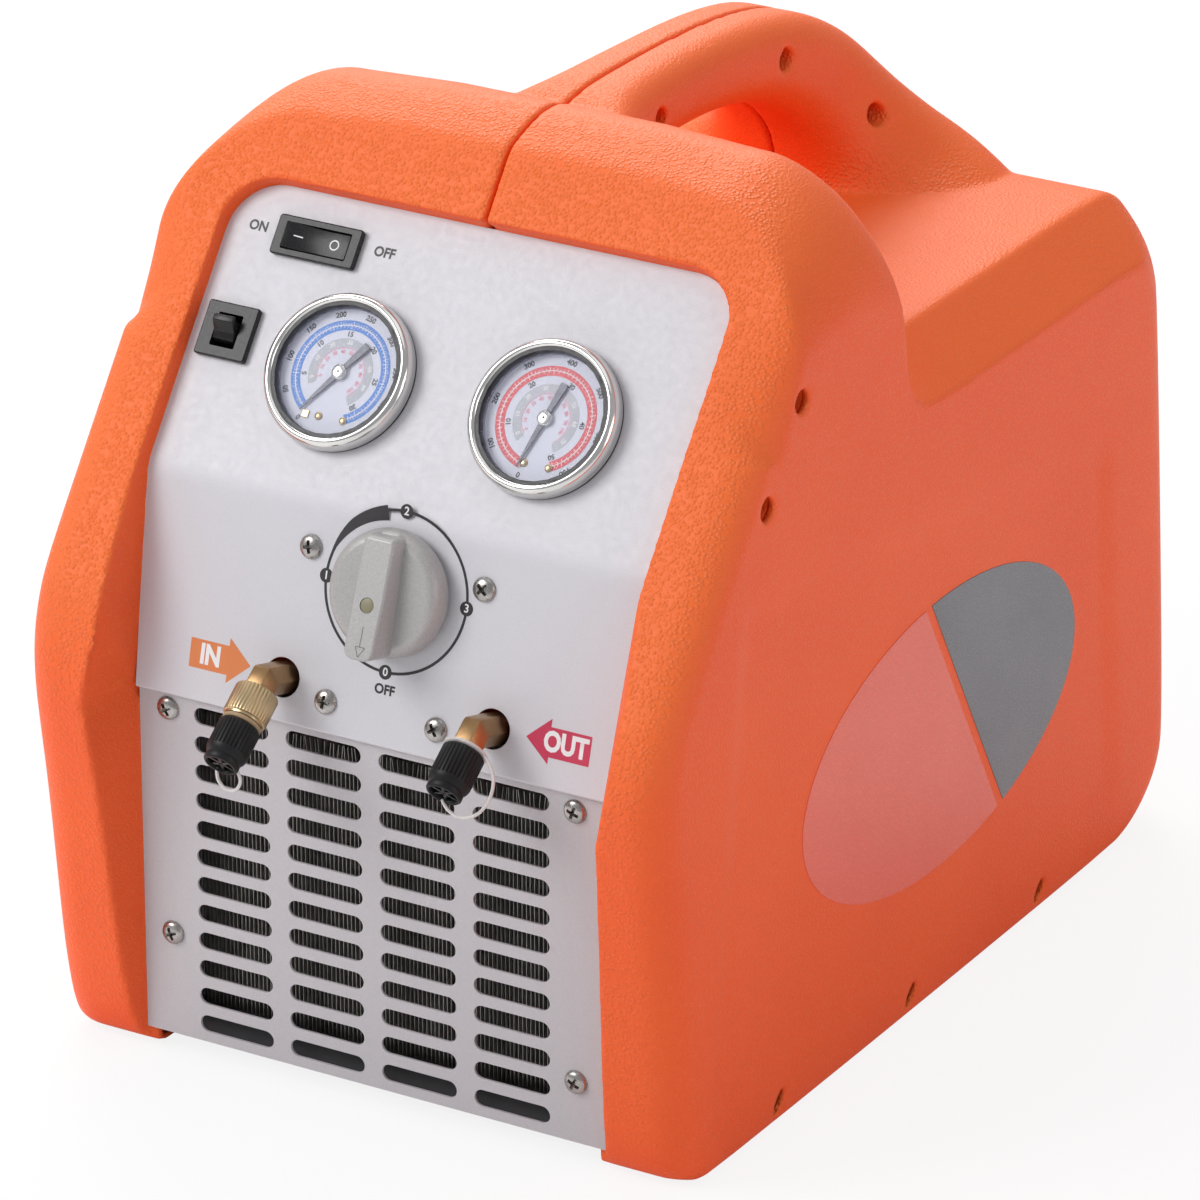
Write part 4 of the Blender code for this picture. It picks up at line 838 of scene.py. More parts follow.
def front_cutters(side):
    """Cutters that open the front of one shell and seat the two plates."""
    seat = -(SHEET + GAP)
    foot = SHEET_FOOT_HALF + GAP
    top = GRILLE_TOP_Z + 0.4
    rings = [[(-half, y, -5.0), (half, y, -5.0), (half, y, top), (-half, y, top)]
             for y, half in ((-seat, foot), (0.0, foot), (-20.0, foot + 7.2), (-60.0, foot + 21.6))]
    cutters = [place_mesh("cut_grille_seat", loft(rings))]

    half = CONTROL_HALF_WIDTH + GAP
    back = section_line(seat, lower_start=-2.5, upper_end=60.0)
    levels = [(132.5, back[0][0], foot)]
    levels += [(z, y, wide) for (y, z), wide in zip(back, (foot, half, half))]
    rings = []
    for z, y, wide in levels:
        flared = wide + FOOT_FLARE * (y + 60.0) * (half - wide) / (half - foot)
        rings.append([(-flared, -60.0, z), (flared, -60.0, z), (wide, y, z), (-wide, y, z)])
    cutters.append(place_mesh("cut_lower_seat", loft(rings)))

    low, high = 8.0, UPPER_LENGTH + GAP
    outline = rounded_rectangle(2.0 * half, high - low + 40.0, CONTROL_CORNER_RADIUS, 10,
                                (0.0, (high + low - 40.0) / 2.0))
    cleaned = []
    for x, y in outline:
        point = (x, max(y, low))
        if not cleaned or (Vector(point) - Vector(cleaned[-1])).length > 0.01:
            cleaned.append(point)
    cutters.append(place_mesh("cut_upper_seat", prism(cleaned, seat, 60.0), upper_frame(0.0, 0.0)))

    outline = [(-40.0, -5.0), (22.0, -5.0), (22.0, 134.0), (-40.0, 134.0)]
    cutters.append(place_mesh("cut_front_low", prism(outline, -88.0, 88.0, "yz")))
    outline = section_line(-14.0, -4.0, 97.0) + list(reversed(section_line(10.0, -4.0, 97.0)))
    cutters.append(place_mesh("cut_front_high", prism(outline, -92.6, 92.6, "yz")))
    outline = rounded_rectangle(*REAR_OPENING, 8.0, 6, REAR_OPENING_MIDDLE)
    cutters.append(place_mesh("cut_rear_opening", prism(outline, 325.0, 400.0, "xz")))

    for holes, near, far in ((SIDE_HOLES, 112.0, 140.0), (HANDLE_HOLES, 8.0, 70.0)):
        low, high = sorted((side * near, side * far))
        for centre in holes:
            outline = circle(SCREW_HOLE_RADIUS, 24, centre)
            cutters.append(place_mesh("cut_screw_hole", prism(outline, low, high, "yz")))
    for y, z in BOTTOM_NOTCHES:
        slant = Vector((0.64, 0.77))
        across = Vector((-0.77, 0.64))
        outline = [tuple(Vector((y, z)) + slant * a * 5.6 + across * b * 2.1)
                   for a, b in circle(1.0, 20)]
        low, high = sorted((side * 119.0, side * 140.0))
        cutters.append(place_mesh("cut_notch", prism(outline, low, high, "yz")))
    low_x, high_x = (MID_GAP * side, 30.0) if side < 0 else (-30.0, MID_GAP * side)
    cutters.append(place_mesh("cut_middle", box((low_x, -80.0, -20.0), (high_x, 420.0, 400.0))))
    return cutters


def field_share(y, z):
    """1 inside the side wall's pressed field, 0 outside, soft at its border."""
    front = 10.5 + max(z, 40.0) * 0.115
    top = 214.0 - 0.13 * y
    rear = 316.0 - 0.09 * z
    share = step_between(y, front - FIELD_BLEND / 2.0, front + FIELD_BLEND / 2.0)
    share *= step_between(top - z, 0.0, FIELD_BLEND * 1.6)
    share *= step_between(rear - y, 0.0, FIELD_BLEND * 1.2)
    share *= step_between(z, 14.0, 14.0 + FIELD_BLEND * 1.4)
    return share


def press_field(mesh):
    """Push the side wall in over its shallow field."""
    for vertex in mesh.vertices:
        x = vertex.co.x / MM
        reach = step_between(abs(x), 112.0, 121.0)
        if reach:
            share = field_share(vertex.co.y / MM - FRONT_SHIFT, vertex.co.z / MM)
            vertex.co.x -= math.copysign(FIELD_DEPTH * share * reach * MM, x)


def make_shells():
    outer_profile = cut_corners(list(SHELL_PROFILE))
    for side, name in ((-1.0, "left_shell"), (1.0, "right_shell")):
        outside = half_body(side, outer_profile, OUTER_STATIONS, HALF_WIDTH)
        shell = place_mesh(name + "_moulding", outside)
        carve(shell, [place_mesh("add_handle", handle_body(side))], "UNION")
        hollow = half_body(side, HOLLOW_PROFILE, HOLLOW_STATIONS, HALF_WIDTH - WALL, WALL)
        carve(shell, [place_mesh("cut_hollow", hollow)] + front_cutters(side))
        remesh = shell.modifiers.new("remesh", "REMESH")
        remesh.mode = "VOXEL"
        remesh.voxel_size = SHELL_VOXEL * MM
        baked(shell)
        press_field(shell.data)
        soften = shell.modifiers.new("soften", "SMOOTH")
        soften.factor = 0.5
        soften.iterations = SHELL_SMOOTH_STEPS
        lighten = shell.modifiers.new("lighten", "DECIMATE")
        lighten.ratio = SHELL_KEEP
        baked(shell)
        shade(shell.data, True, 180.0)
        finished(shell, "shell", name)


def make_screw_wells():
    """Blind wells behind the side holes."""
    cup = [(0.0, 0.0), (6.4, 0.0), (6.4, 25.4), (4.3, 25.4), (4.3, 1.6), (0.0, 1.6)]
    for side, word in ((-1.0, "left"), (1.0, "right")):
        for index, (y, z) in enumerate(SIDE_HOLES):
            place = frame_from((side * SIDE_WELL_X, y, z), (side, 0.0, 0.0), (0.0, 1.0, 0.0))
            add_piece("%s_side_well_%d" % (word, index + 1), turned(cup, 40), place, "shell")


# Sheet metal

def sheet_holes():
    """Openings of the control sheet as (frame, outline)."""
    holes = [(upper_frame(*ROCKER_AT), rounded_rectangle(28.0, 11.0, 0.5)),
             (upper_frame(*BREAKER_AT), rounded_rectangle(15.0, 13.0, 0.5)),
             (lower_frame(*KNOB_AT), circle(5.6, 32))]
    holes += [(upper_frame(x, GAUGE_LENGTH_UP), circle(24.9, 64)) for x in GAUGE_XS.values()]
    holes += [(lower_frame(x, PORT_LENGTH_UP), circle(PORT_HOLE_RADIUS, 48)) for x in PORT_XS]
    return holes


def fold_arc(offset, steps=12):
    """y and z points of the soft fold on the sheet's face moved out by offset."""
    turn = UPPER_LEAN - LOWER_LEAN
    back_off = FOLD_RADIUS * math.tan(turn / 2.0)
    start = FOLD_POINT - LOWER_UP * back_off
    centre = start - LOWER_OUT * FOLD_RADIUS
    points = []
    for index in range(steps + 1):
        lean = LOWER_LEAN + turn * index / steps
        out = Vector((0.0, -math.cos(lean), math.sin(lean)))
        points.append(centre + out * (FOLD_RADIUS + offset))
    return points


def make_control_sheet():
    """One sheet: rolled lower edge, flat lower section, soft fold, round upper corners."""
    half = CONTROL_HALF_WIDTH
    corner = CONTROL_CORNER_RADIUS
    rows = []
    roll = 1.1
    for angle in (0.0, 15.0, 30.0, 50.0, 70.0, 90.0):
        turn = math.radians(angle)
        inward = roll * (1.0 - math.sin(turn))
        point = PANEL_BASE + LOWER_UP * roll * (1.0 - math.cos(turn)) - LOWER_OUT * inward
        rows.append((point, SHEET_FOOT_HALF))
    rows += [(point, half) for point in fold_arc(0.0)]
    for index in range(13):
        angle = math.radians(90.0 * index / 12.0)
        point = FOLD_POINT + UPPER_UP * (UPPER_LENGTH - corner + corner * math.sin(angle))
        rows.append((point, half - corner + corner * math.cos(angle)))
    front = []
    columns = 12
    for point, wide in rows:
        front.append([(wide * (2.0 * index / columns - 1.0), point.y, point.z)
                      for index in range(columns + 1)])
    bm = loft(front, closed_ends=False, closed_rings=False)
    sheet = place_mesh("control_sheet", bm)
    thick = sheet.modifiers.new("thickness", "SOLIDIFY")
    thick.thickness = SHEET * MM
    thick.offset = -1.0
    baked(sheet)
    cutters = [place_mesh("cut_hole", prism(outline, -5.0, 5.0), place) for place, outline in sheet_holes()]
    finish_sheet(sheet, cutters, "panel", "control_panel", 0.25)


def finish_sheet(sheet, cutters, key, node, edge=0.3):
    """Cut the openings, round the cut edges and keep the flats flat."""
    carve(sheet, cutters)
    bevelled(sheet, edge, 2, 50.0)
    flat_normals(baked(sheet))
    finished(sheet, key, node)


def slot_outline(centre, length=SLOT_LENGTH, height=SLOT_HEIGHT):
    points = []
    reach = (length - height) / 2.0
    for side, start in ((1.0, -90.0), (-1.0, 90.0)):
        for index in range(11):
            angle = math.radians(start + 18.0 * index)
            points.append((centre[0] + side * reach + height / 2.0 * math.cos(angle),
                           centre[1] + height / 2.0 * math.sin(angle)))
    return points


def make_grille_sheet():
    outline = [(-GRILLE_HALF_WIDTH, GRILLE_BOTTOM_Z), (GRILLE_HALF_WIDTH, GRILLE_BOTTOM_Z),
               (GRILLE_HALF_WIDTH, GRILLE_TOP_Z), (-GRILLE_HALF_WIDTH, GRILLE_TOP_Z)]
    grille = place_mesh("grille_sheet", prism(outline, 0.0, SHEET, "xz"))
    parts = []
    for column in range(SLOT_COLUMNS):
        x = (column - (SLOT_COLUMNS - 1) / 2.0) * SLOT_COLUMN_PITCH
        for row in range(SLOT_ROWS):
            centre = (x, SLOT_TOP_ROW_Z - row * SLOT_ROW_PITCH)
            parts.append(prism(slot_outline(centre), -2.0, SHEET + 2.0, "xz"))
    finish_sheet(grille, [place_mesh("cut_slots", merged(parts))], "grille", "grille_panel")


def make_rear_sheet():
    """Rear sheet with two columns of air slots and the socket's opening."""
    place = rear_frame()
    outline = rounded_rectangle(*REAR_SHEET, 3.0, 6, REAR_SHEET_MIDDLE)
    sheet = place_mesh("rear_sheet", prism(outline, -SHEET, 0.0), place)
    parts = [prism(rounded_rectangle(*SOCKET_HOLE, 2.0, 4, SOCKET_AT), -4.0, 3.0)]
    for column in (-0.5, 0.5):
        for row in range(REAR_SLOT_ROWS):
            centre = (column * REAR_SLOT_PITCH[0], REAR_SLOT_START + row * REAR_SLOT_PITCH[1])
            parts.append(prism(slot_outline(centre, *REAR_SLOT), -4.0, 3.0))
    finish_sheet(sheet, [place_mesh("cut_rear_slots", merged(parts), place)], "grille", "rear_panel")


def pan_screw(radius, dome):
    """Domed screw head, turned; make_screw cuts its deep cross recess."""
    profile = [(0.0, dome)]
    for index in range(1, 9):
        angle = math.radians(90.0 * index / 8.0)
        profile.append((radius * math.sin(angle) ** 0.9, dome * max(math.cos(angle), 0.0) ** 0.85))
    profile += [(radius, -0.6), (0.0, -0.6)]
    return turned(profile, 40)


def cross_cutter(dome, turn):
    """Cross-shaped recess cutter that narrows with depth."""
    levels = ((dome + 1.0, 2.6, 0.72), (dome - 0.3, 2.3, 0.58), (dome - 2.2, 0.9, 0.3))
    parts = []
    for angle in (turn, turn + 90.0):
        rings = []
        for height, length, width in levels:
            rings.append([(-length, -width, height), (length, -width, height),
                          (length, width, height), (-length, width, height)])
        parts.append(moved(loft(rings), Matrix.Rotation(math.radians(angle), 4, "Z")))
    return parts


def make_screw(name, place, turn, node=None, radius=4.3, dome=2.3):
    screw = place_mesh(name, pan_screw(radius, dome), place)
    carve(screw, [place_mesh("cut_cross", part, place) for part in cross_cutter(dome, turn)])
    shade(screw.data, True, 35.0)
    finished(screw, "screw", node)


def make_handle_screws():
    """The screws that show in the handle's first two holes."""
    for index, (y, z) in enumerate(HANDLE_HOLES[:2]):
        place = frame_from((HANDLE_SCREW_X, y, z), (1.0, 0.0, 0.0), (0.0, 1.0, 0.0))
        make_screw("handle_screw_head_%d" % (index + 1), place, 25.0 + 40.0 * index,
                   "handle_screw_%d" % (index + 1), 3.6, 2.2)


def make_front_screws():
    """Screws of the control sheet and of the grille sheet, each turned a little further."""
    for index, (x, length_up) in enumerate(PANEL_SCREWS):
        make_screw("panel_screw_head_%d" % (index + 1), lower_frame(x, length_up, SCREW_SEAT),
                   12.0 + 37.0 * index, "panel_screw_%d" % (index + 1))
    for index, (x, z) in enumerate(GRILLE_SCREWS):
        make_screw("grille_screw_head_%d" % (index + 1), grille_frame(x, z, SCREW_SEAT),
                   30.0 + 41.0 * index, "grille_screw_%d" % (index + 1))


def make_rear_screws():
    for index, (x, length) in enumerate(REAR_SCREWS):
        make_screw("rear_screw_%d" % (index + 1), rear_frame() @ Matrix.Translation((x, length, 0.1)),
                   15.0 + 50.0 * index, None, 3.6, 2.0)


# Gauges

SCALES = {
    # zero angle and degrees per unit for the outer and inner numbers, and the scale's end
    "low": {"zero": -150.0, "outer": (0.654, 50, 8), "inner": (9.7, 5, 7), "end": 156.0,
            "ink": "ink_blue", "needle": 146.0, "body": "low_pointer"},
    "high": {"zero": -170.0, "outer": (0.445, 100, 7), "inner": (6.45, 10, 5), "end": 156.0,
             "ink": "ink_red", "needle": 165.5, "body": "high_pointer"},
}
DIAL_Z = 2.4
BAND = (15.0, 18.5)
GREY_BAND = (9.2, 12.2)


def polar(radius, clock_degrees):
    angle = math.radians(clock_degrees)
    return radius * math.sin(angle), radius * math.cos(angle)


def add_sector(bm, inner, outer, start, end, level, step=3.0):
    """Flat ring sector between two clock angles."""
    count = max(int(abs(end - start) / step), 1)
    rows = []
    for index in range(count + 1):
        angle = start + (end - start) * index / count
        rows.append([bm.verts.new((*polar(radius, angle), level)) for radius in (inner, outer)])
    for first, second in zip(rows, rows[1:]):
        bm.faces.new((first[0], first[1], second[1], second[0]))


def add_stroke(bm, start, end, width, level):
    """Flat line of a given width between two points."""
    first, second = Vector(start), Vector(end)
    side = (second - first).normalized()
    side = Vector((-side.y, side.x)) * width / 2.0
    corners = (first - side, second - side, second + side, first + side)
    bm.faces.new([bm.verts.new((point.x, point.y, level)) for point in corners])


def add_tick(bm, inner, outer, clock, width, level):
    add_stroke(bm, polar(inner, clock), polar(outer, clock), width, level)


def add_text(bm, words, centre, size, level, turn=0.0, weight=0.0, stretch=1.0):
    """Flat letters centred on a point, turned clockwise by turn degrees."""
    curve = bpy.data.curves.new("letters", "FONT")
    curve.body = words
    curve.size = size
    curve.offset = weight
    curve.align_x = "CENTER"
    curve.align_y = "CENTER"
    curve.resolution_u = 3
    item = added("letters", curve)
    bpy.context.view_layer.update()
    mesh = bpy.data.meshes.new_from_object(item.evaluated_get(bpy.context.evaluated_depsgraph_get()))
    matrix = Matrix.Translation((centre[0], centre[1], level))
    matrix = matrix @ Matrix.Rotation(-math.radians(turn), 4, "Z")
    mesh.transform(matrix @ Matrix.Diagonal((stretch, 1.0, 1.0, 1.0)))
    bm.from_mesh(mesh)
    bpy.data.objects.remove(item, do_unlink=True)
    bpy.data.curves.remove(curve)
    bpy.data.meshes.remove(mesh)


def place_print(name, bm, place, key, body="housing"):
    """Flat ink, with its faces turned outwards."""
    for face in bm.faces:
        face.normal_update()
        if face.normal.z < 0.0:
            face.normal_flip()
    bm.transform(to_row_frame() @ place)
    mesh = bpy.data.meshes.new(name)
    bm.to_mesh(mesh)
    bm.free()
    return finished(added(name, mesh), key, body=body)


def make_dial_print(side, place):
    scale = SCALES[side]
    zero, end = scale["zero"], scale["end"]
    ink = scale["ink"]
    band = bmesh.new()
    add_sector(band, BAND[0], BAND[1], zero + 4.0, end, DIAL_Z + 0.06)
    place_print(side + "_scale_band", band, place, ink)

    white = bmesh.new()
    middle = (BAND[0] + BAND[1]) / 2.0
    add_sector(white, middle - 0.13, middle + 0.13, zero + 4.0, end, DIAL_Z + 0.10)
    span, number_step, count = scale["outer"]
    bar_span, bar_step, bar_count = scale["inner"]
    for side_sign, pitch, level in ((1.0, span * number_step / 10.0, DIAL_Z + 0.11),
                                    (-1.0, bar_span * bar_step / 10.0, DIAL_Z + 0.12)):
        for tick in range(1, int((end - zero) / pitch) + 1):
            reach = side_sign * (1.25 if tick % 5 == 0 else 0.8)
            inner, outer = sorted((middle, middle + reach))
            if tick * pitch > 4.0:
                add_tick(white, inner, outer, zero + tick * pitch, 0.22, level)
    for index in range(8):
        clock = zero + 42.0 + 36.0 * index
        if clock < end - 12.0:
            add_text(white, str(10 * index), polar(10.7, clock), 2.1, DIAL_Z + 0.13, clock, 0.03)
    place_print(side + "_scale_ticks", white, place, "ink_white")

    black = bmesh.new()
    for index in range(count + 1):
        clock = zero + index * number_step * span
        if clock < end - 4.0:
            add_text(black, str(index * number_step), polar(20.5, clock), 2.6, DIAL_Z + 0.06, clock, 0.10)
    for index in range(1, bar_count + 1):
        clock = zero + index * bar_step * bar_span
        if clock < end:
            add_text(black, str(index * bar_step), polar(13.6, clock), 2.5, DIAL_Z + 0.06, clock, 0.09)
    place_print(side + "_scale_numbers", black, place, "ink_black")

    grey = bmesh.new()
    add_sector(grey, GREY_BAND[0], GREY_BAND[1], zero + 30.0, end - 8.0, DIAL_Z + 0.05)
    place_print(side + "_inner_band", grey, place, "ink_grey")

    pink = bmesh.new()
    add_sector(pink, 8.75, 8.95, zero + 34.0, end - 12.0, DIAL_Z + 0.07)
    for index in range(11):
        clock = zero + 42.0 + 24.0 * index
        if clock < end - 16.0:
            add_text(pink, str(10 * index), polar(7.4, clock), 1.8, DIAL_Z + 0.07, clock, 0.03)
            add_tick(pink, 8.3, 8.95, clock, 0.14, DIAL_Z + 0.07)
            add_tick(pink, 8.55, 8.95, clock + 12.0, 0.12, DIAL_Z + 0.07)
    place_print(side + "_inner_numbers", pink, place, "ink_pink")


def make_needle(side, place):
    """Tapered needle with a flared tail and a turned hub."""
    turn = Matrix.Rotation(math.radians(SCALES[side]["needle"]), 4, "Z")
    outline = [(-0.25, 18.4), (-1.05, 3.2), (-0.95, 0.0), (-0.95, -2.8), (-1.5, -12.9), (-1.2, -13.2),
               (1.2, -13.2), (1.5, -12.9), (0.95, -2.8), (0.95, 0.0), (1.05, 3.2), (0.25, 18.4)]
    blade = place_mesh(side + "_needle", prism(outline, 3.2, 3.6), place @ turn)
    bevelled(blade, 0.12, 2)
    body = SCALES[side]["body"]
    finished(blade, "needle", side + "_gauge_pointer", body=body)
    hub = [(0.0, 4.5), (1.9, 4.45), (2.5, 4.2), (2.7, 3.9), (2.7, 2.7), (0.0, 2.7)]
    add_piece(side + "_needle_hub", turned(hub, 40), place, "hub", body=body)
    dot = [(0.0, 4.72), (0.45, 4.65), (0.5, 4.5), (0.0, 4.5)]
    add_piece(side + "_hub_pin", turned(dot, 16), place, "ink_black", body=body)


# Turned sections of a gauge as radius and height above the control sheet; a pin's are above its dial
BEZEL = ((24.7, 1.0), (27.0, 1.0), (27.3, 1.3), (27.35, 3.8), (27.2, 5.4), (26.7, 6.6), (25.9, 7.3),
         (25.2, 7.6), (24.6, 7.45), (24.1, 7.0), (23.8, 6.5), (23.7, 5.9), (24.7, 5.7))
GASKET = ((25.0, 0.1), (27.1, 0.1), (27.1, 0.9), (25.0, 0.9))
INNER_WALL = ((22.3, DIAL_Z), (24.3, DIAL_Z), (24.3, 5.6), (23.3, 5.6), (22.9, 4.6))
DIAL_FACE = ((0.0, DIAL_Z), (22.9, DIAL_Z), (22.9, 1.9), (0.0, 1.9))
WINDOW = ((0.0, 5.9), (8.0, 5.85), (16.0, 5.7), (23.2, 5.4), (23.2, 4.9), (0.0, 4.9))
DIAL_PIN = ((0.0, 0.75), (0.9, 0.7), (1.35, 0.4), (1.45, 0.0), (0.0, 0.0))
DIAL_PIN_SPOTS = ((-2.8, -16.0), (6.7, -15.9))
ZERO_STOP_SPOT = (-7.9, -16.2)


def make_gauges():
    for side, x in GAUGE_XS.items():
        place = upper_frame(x, GAUGE_LENGTH_UP)
        gauge = side + "_gauge_"
        add_piece(side + "_bezel_ring", turned(BEZEL, 96), place, "chrome", gauge + "bezel")
        add_piece(side + "_gasket", turned(GASKET, 96), place, "case")
        add_piece(side + "_inner_wall", turned(INNER_WALL, 96), place, "wall")
        add_piece(side + "_dial_face", turned(DIAL_FACE, 96), place, "dial", gauge + "dial")
        lens = add_piece(side + "_window", turned(WINDOW, 96), place, "glass", gauge + "lens")
        lens.visible_shadow = False
        make_dial_print(side, place)
        make_needle(side, place)
        for index, (right, up) in enumerate(DIAL_PIN_SPOTS):
            add_piece("%s_dial_pin_%d" % (side, index + 1), turned(DIAL_PIN, 24),
                      upper_frame(x + right, GAUGE_LENGTH_UP + up, DIAL_Z), "gold")
        if side == "low":
            right, up = ZERO_STOP_SPOT
            stop = add_piece("low_zero_stop", box((-1.3, -1.3, 0.0), (1.3, 1.3, 0.5)),
                             upper_frame(x + right, GAUGE_LENGTH_UP + up, DIAL_Z), "gold")
            bevelled(stop, 0.15, 2)


# Switch, breaker and knob

ROCKER_TILT = math.radians(7.0)
ROCKER_PIVOT_OUT = 0.6
ROCKER_FACE_OUT = 1.6
ROCKER_PRINT_OUT = 1.75
ROCKER_BOW = 0.0098
TOGGLE_PIVOT_IN = 1.4
TOGGLE_LEAN = math.radians(2.0)


def switch_housing(name, place, outside, neck, well, depth, node):
    """Snap-in frame with a blind well behind it."""
    width, height, corner = outside
    piece = place_mesh(name, prism(rounded_rectangle(width, height, corner), 0.1, 2.6), place)
    bevelled(piece, 0.55, 3)
    baked(piece)
    body = place_mesh("add_neck", prism(rounded_rectangle(neck[0], neck[1], 0.5), -depth - 2.0, 1.0), place)
    carve(piece, [body], "UNION")
    cutter = prism(rounded_rectangle(well[0], well[1], 0.5), -depth, 6.0)
    carve(piece, [place_mesh("cut_well", cutter, place)])
    bevelled(piece, 0.18, 2, 50.0)
    flat_normals(baked(piece))
    finished(piece, "gloss_black", node)


def round_edges(item, width):
    bevelled(item, width, 3, 25.0)
    baked(item)
    shade(item.data, True, 40.0)


def make_switches():
    place = upper_frame(*ROCKER_AT)
    switch_housing("switch_frame", place, (33.0, 14.2, 1.2), (27.2, 10.4), (25.6, 9.6), 7.5, "switch_bezel")
    pivot = frame_from(place.translation + UPPER_OUT * ROCKER_PIVOT_OUT, UPPER_UP, (1.0, 0.0, 0.0))
    face = [(x, ROCKER_FACE_OUT + ROCKER_BOW * x * x)
            for x in (-12.2, -9.5, -6.5, -3.0, 0.0, 3.0, 6.5, 9.5, 12.2)]
    outline = [(x * math.cos(ROCKER_TILT) + out * math.sin(ROCKER_TILT),
                x * math.sin(ROCKER_TILT) - out * math.cos(ROCKER_TILT))
               for x, out in [(12.2, -1.0), (9.0, -4.6), (-9.0, -4.6), (-12.2, -1.0)] + face]
    rocker = place_mesh("rocker_paddle", prism(outline, -4.5, 4.5), pivot)
    round_edges(rocker, 0.35)
    finished(rocker, "gloss_black", "switch_rocker", "rocker")
    line = bmesh.new()
    add_stroke(line, (-1.7, 0.0), (1.7, 0.0), 0.42, 0.0)
    ring = bmesh.new()
    add_sector(ring, 1.4, 1.85, 0.0, 360.0, 0.0, 12.0)
    for name, marks, x in (("rocker_line_mark", line, -6.8), ("rocker_ring_mark", ring, 6.8)):
        slope = math.atan(2.0 * ROCKER_BOW * x)
        spot = place @ Matrix.Translation((0.0, 0.0, ROCKER_PIVOT_OUT))
        spot = spot @ Matrix.Rotation(ROCKER_TILT, 4, "Y")
        spot = spot @ Matrix.Translation((x, 0.0, ROCKER_PRINT_OUT + ROCKER_BOW * x * x))
        spot = spot @ Matrix.Rotation(-slope, 4, "Y")
        place_print(name, marks, spot, "ink_white", "rocker")
    switch_housing("breaker_frame", upper_frame(*BREAKER_AT), (20.0, 19.4, 0.9), (14.2, 13.0),
                   (9.6, 11.8), 7.0, "breaker_body")


def make_toggle():
    """Short flat lever, leaning up in its slot, with a ridged tip."""
    frame_out = upper_frame(*BREAKER_AT)
    place = frame_from(frame_out.translation - UPPER_OUT * TOGGLE_PIVOT_IN, (1.0, 0.0, 0.0), UPPER_OUT)
    outline = [(-4.0, -3.8), (-4.0, 3.8), (2.6, 4.0), (4.6, 3.2), (5.4, 0.6), (7.4, -1.4),
               (8.3, -2.4), (8.2, -4.2), (7.5, -4.8), (6.9, -4.6), (5.5, -3.3), (2.4, -3.6)]
    points = [spun(point, TOGGLE_LEAN) for point in outline]
    lever = place_mesh("breaker_lever", prism(points, -4.1, 4.1), place)
    round_edges(lever, 0.4)
    finished(lever, "gloss_black", "breaker_toggle", "toggle")


KNOB_BAR_SLOPE = 0.12


def make_knob():
    place = lower_frame(*KNOB_AT)
    disc = [(0.0, 2.0), (20.3, 2.0), (21.5, 2.4), (21.9, 3.2), (21.8, 5.4),
            (21.3, 7.6), (20.4, 9.2), (19.2, 10.1), (17.6, 10.5), (0.0, 10.6)]
    knob = place_mesh("selector_knob", turned(disc, 96), place)
    levels = ((4.0, 7.2, 20.0, -20.6), (13.0, 6.5, 20.2, -21.2), (20.6, 5.6, 19.4, -21.5))
    rings = []
    for height, wide, top, bottom in levels:
        outline = [(-wide * 0.86, top), (-wide, top - 1.6), (-wide * 1.04, 0.0), (-wide * 0.98, bottom + 2.6),
                   (-wide * 0.80, bottom + 0.7), (-wide * 0.4, bottom)]
        outline += [(-x, y) for x, y in reversed(outline)]
        sink = KNOB_BAR_SLOPE if height > 15.0 else 0.0
        rings.append([(a, b, height - sink * (b - bottom)) for a, b in outline])
    bar = place_mesh("add_bar", loft(rings), place)
    bevelled(bar, 0.8, 3, 40.0)
    baked(bar)
    carve(knob, [bar], "UNION")
    on_bar = place @ Matrix.Translation((0.0, -21.4, 20.6))
    on_bar = on_bar @ Matrix.Rotation(-math.atan(KNOB_BAR_SLOPE), 4, "X")
    dot_place = on_bar @ Matrix.Translation((0.0, 18.6, 0.0))
    dot_pocket = [(0.0, -0.6), (2.7, -0.6), (2.7, 4.0), (0.0, 4.0)]
    carve(knob, [place_mesh("cut_dot", turned(dot_pocket, 40), dot_place)])
    bevelled(knob, 0.3, 2, 35.0)
    flat_normals(baked(knob), 32.0)
    finished(knob, "knob", "knob", "selector")
    dot = [(0.0, -0.15), (2.2, -0.18), (2.55, -0.3), (2.55, -0.7), (0.0, -0.7)]
    add_piece("knob_dot", turned(dot, 40), dot_place, "khaki", body="selector")
    arrow = bmesh.new()
    for start, end in (((0.3, 11.4), (0.3, 4.6)), ((-1.3, 4.6), (2.4, 4.6)), ((-1.3, 4.6), (0.3, 1.2)),
                       ((2.4, 4.6), (0.3, 1.2))):
        add_stroke(arrow, start, end, 0.3, 0.0)
    place_print("knob_arrow", arrow, on_bar @ Matrix.Translation((0.0, 0.0, 0.05)), "engraving", "selector")


# Marks printed on the control sheet

RING_RADIUS = 27.4


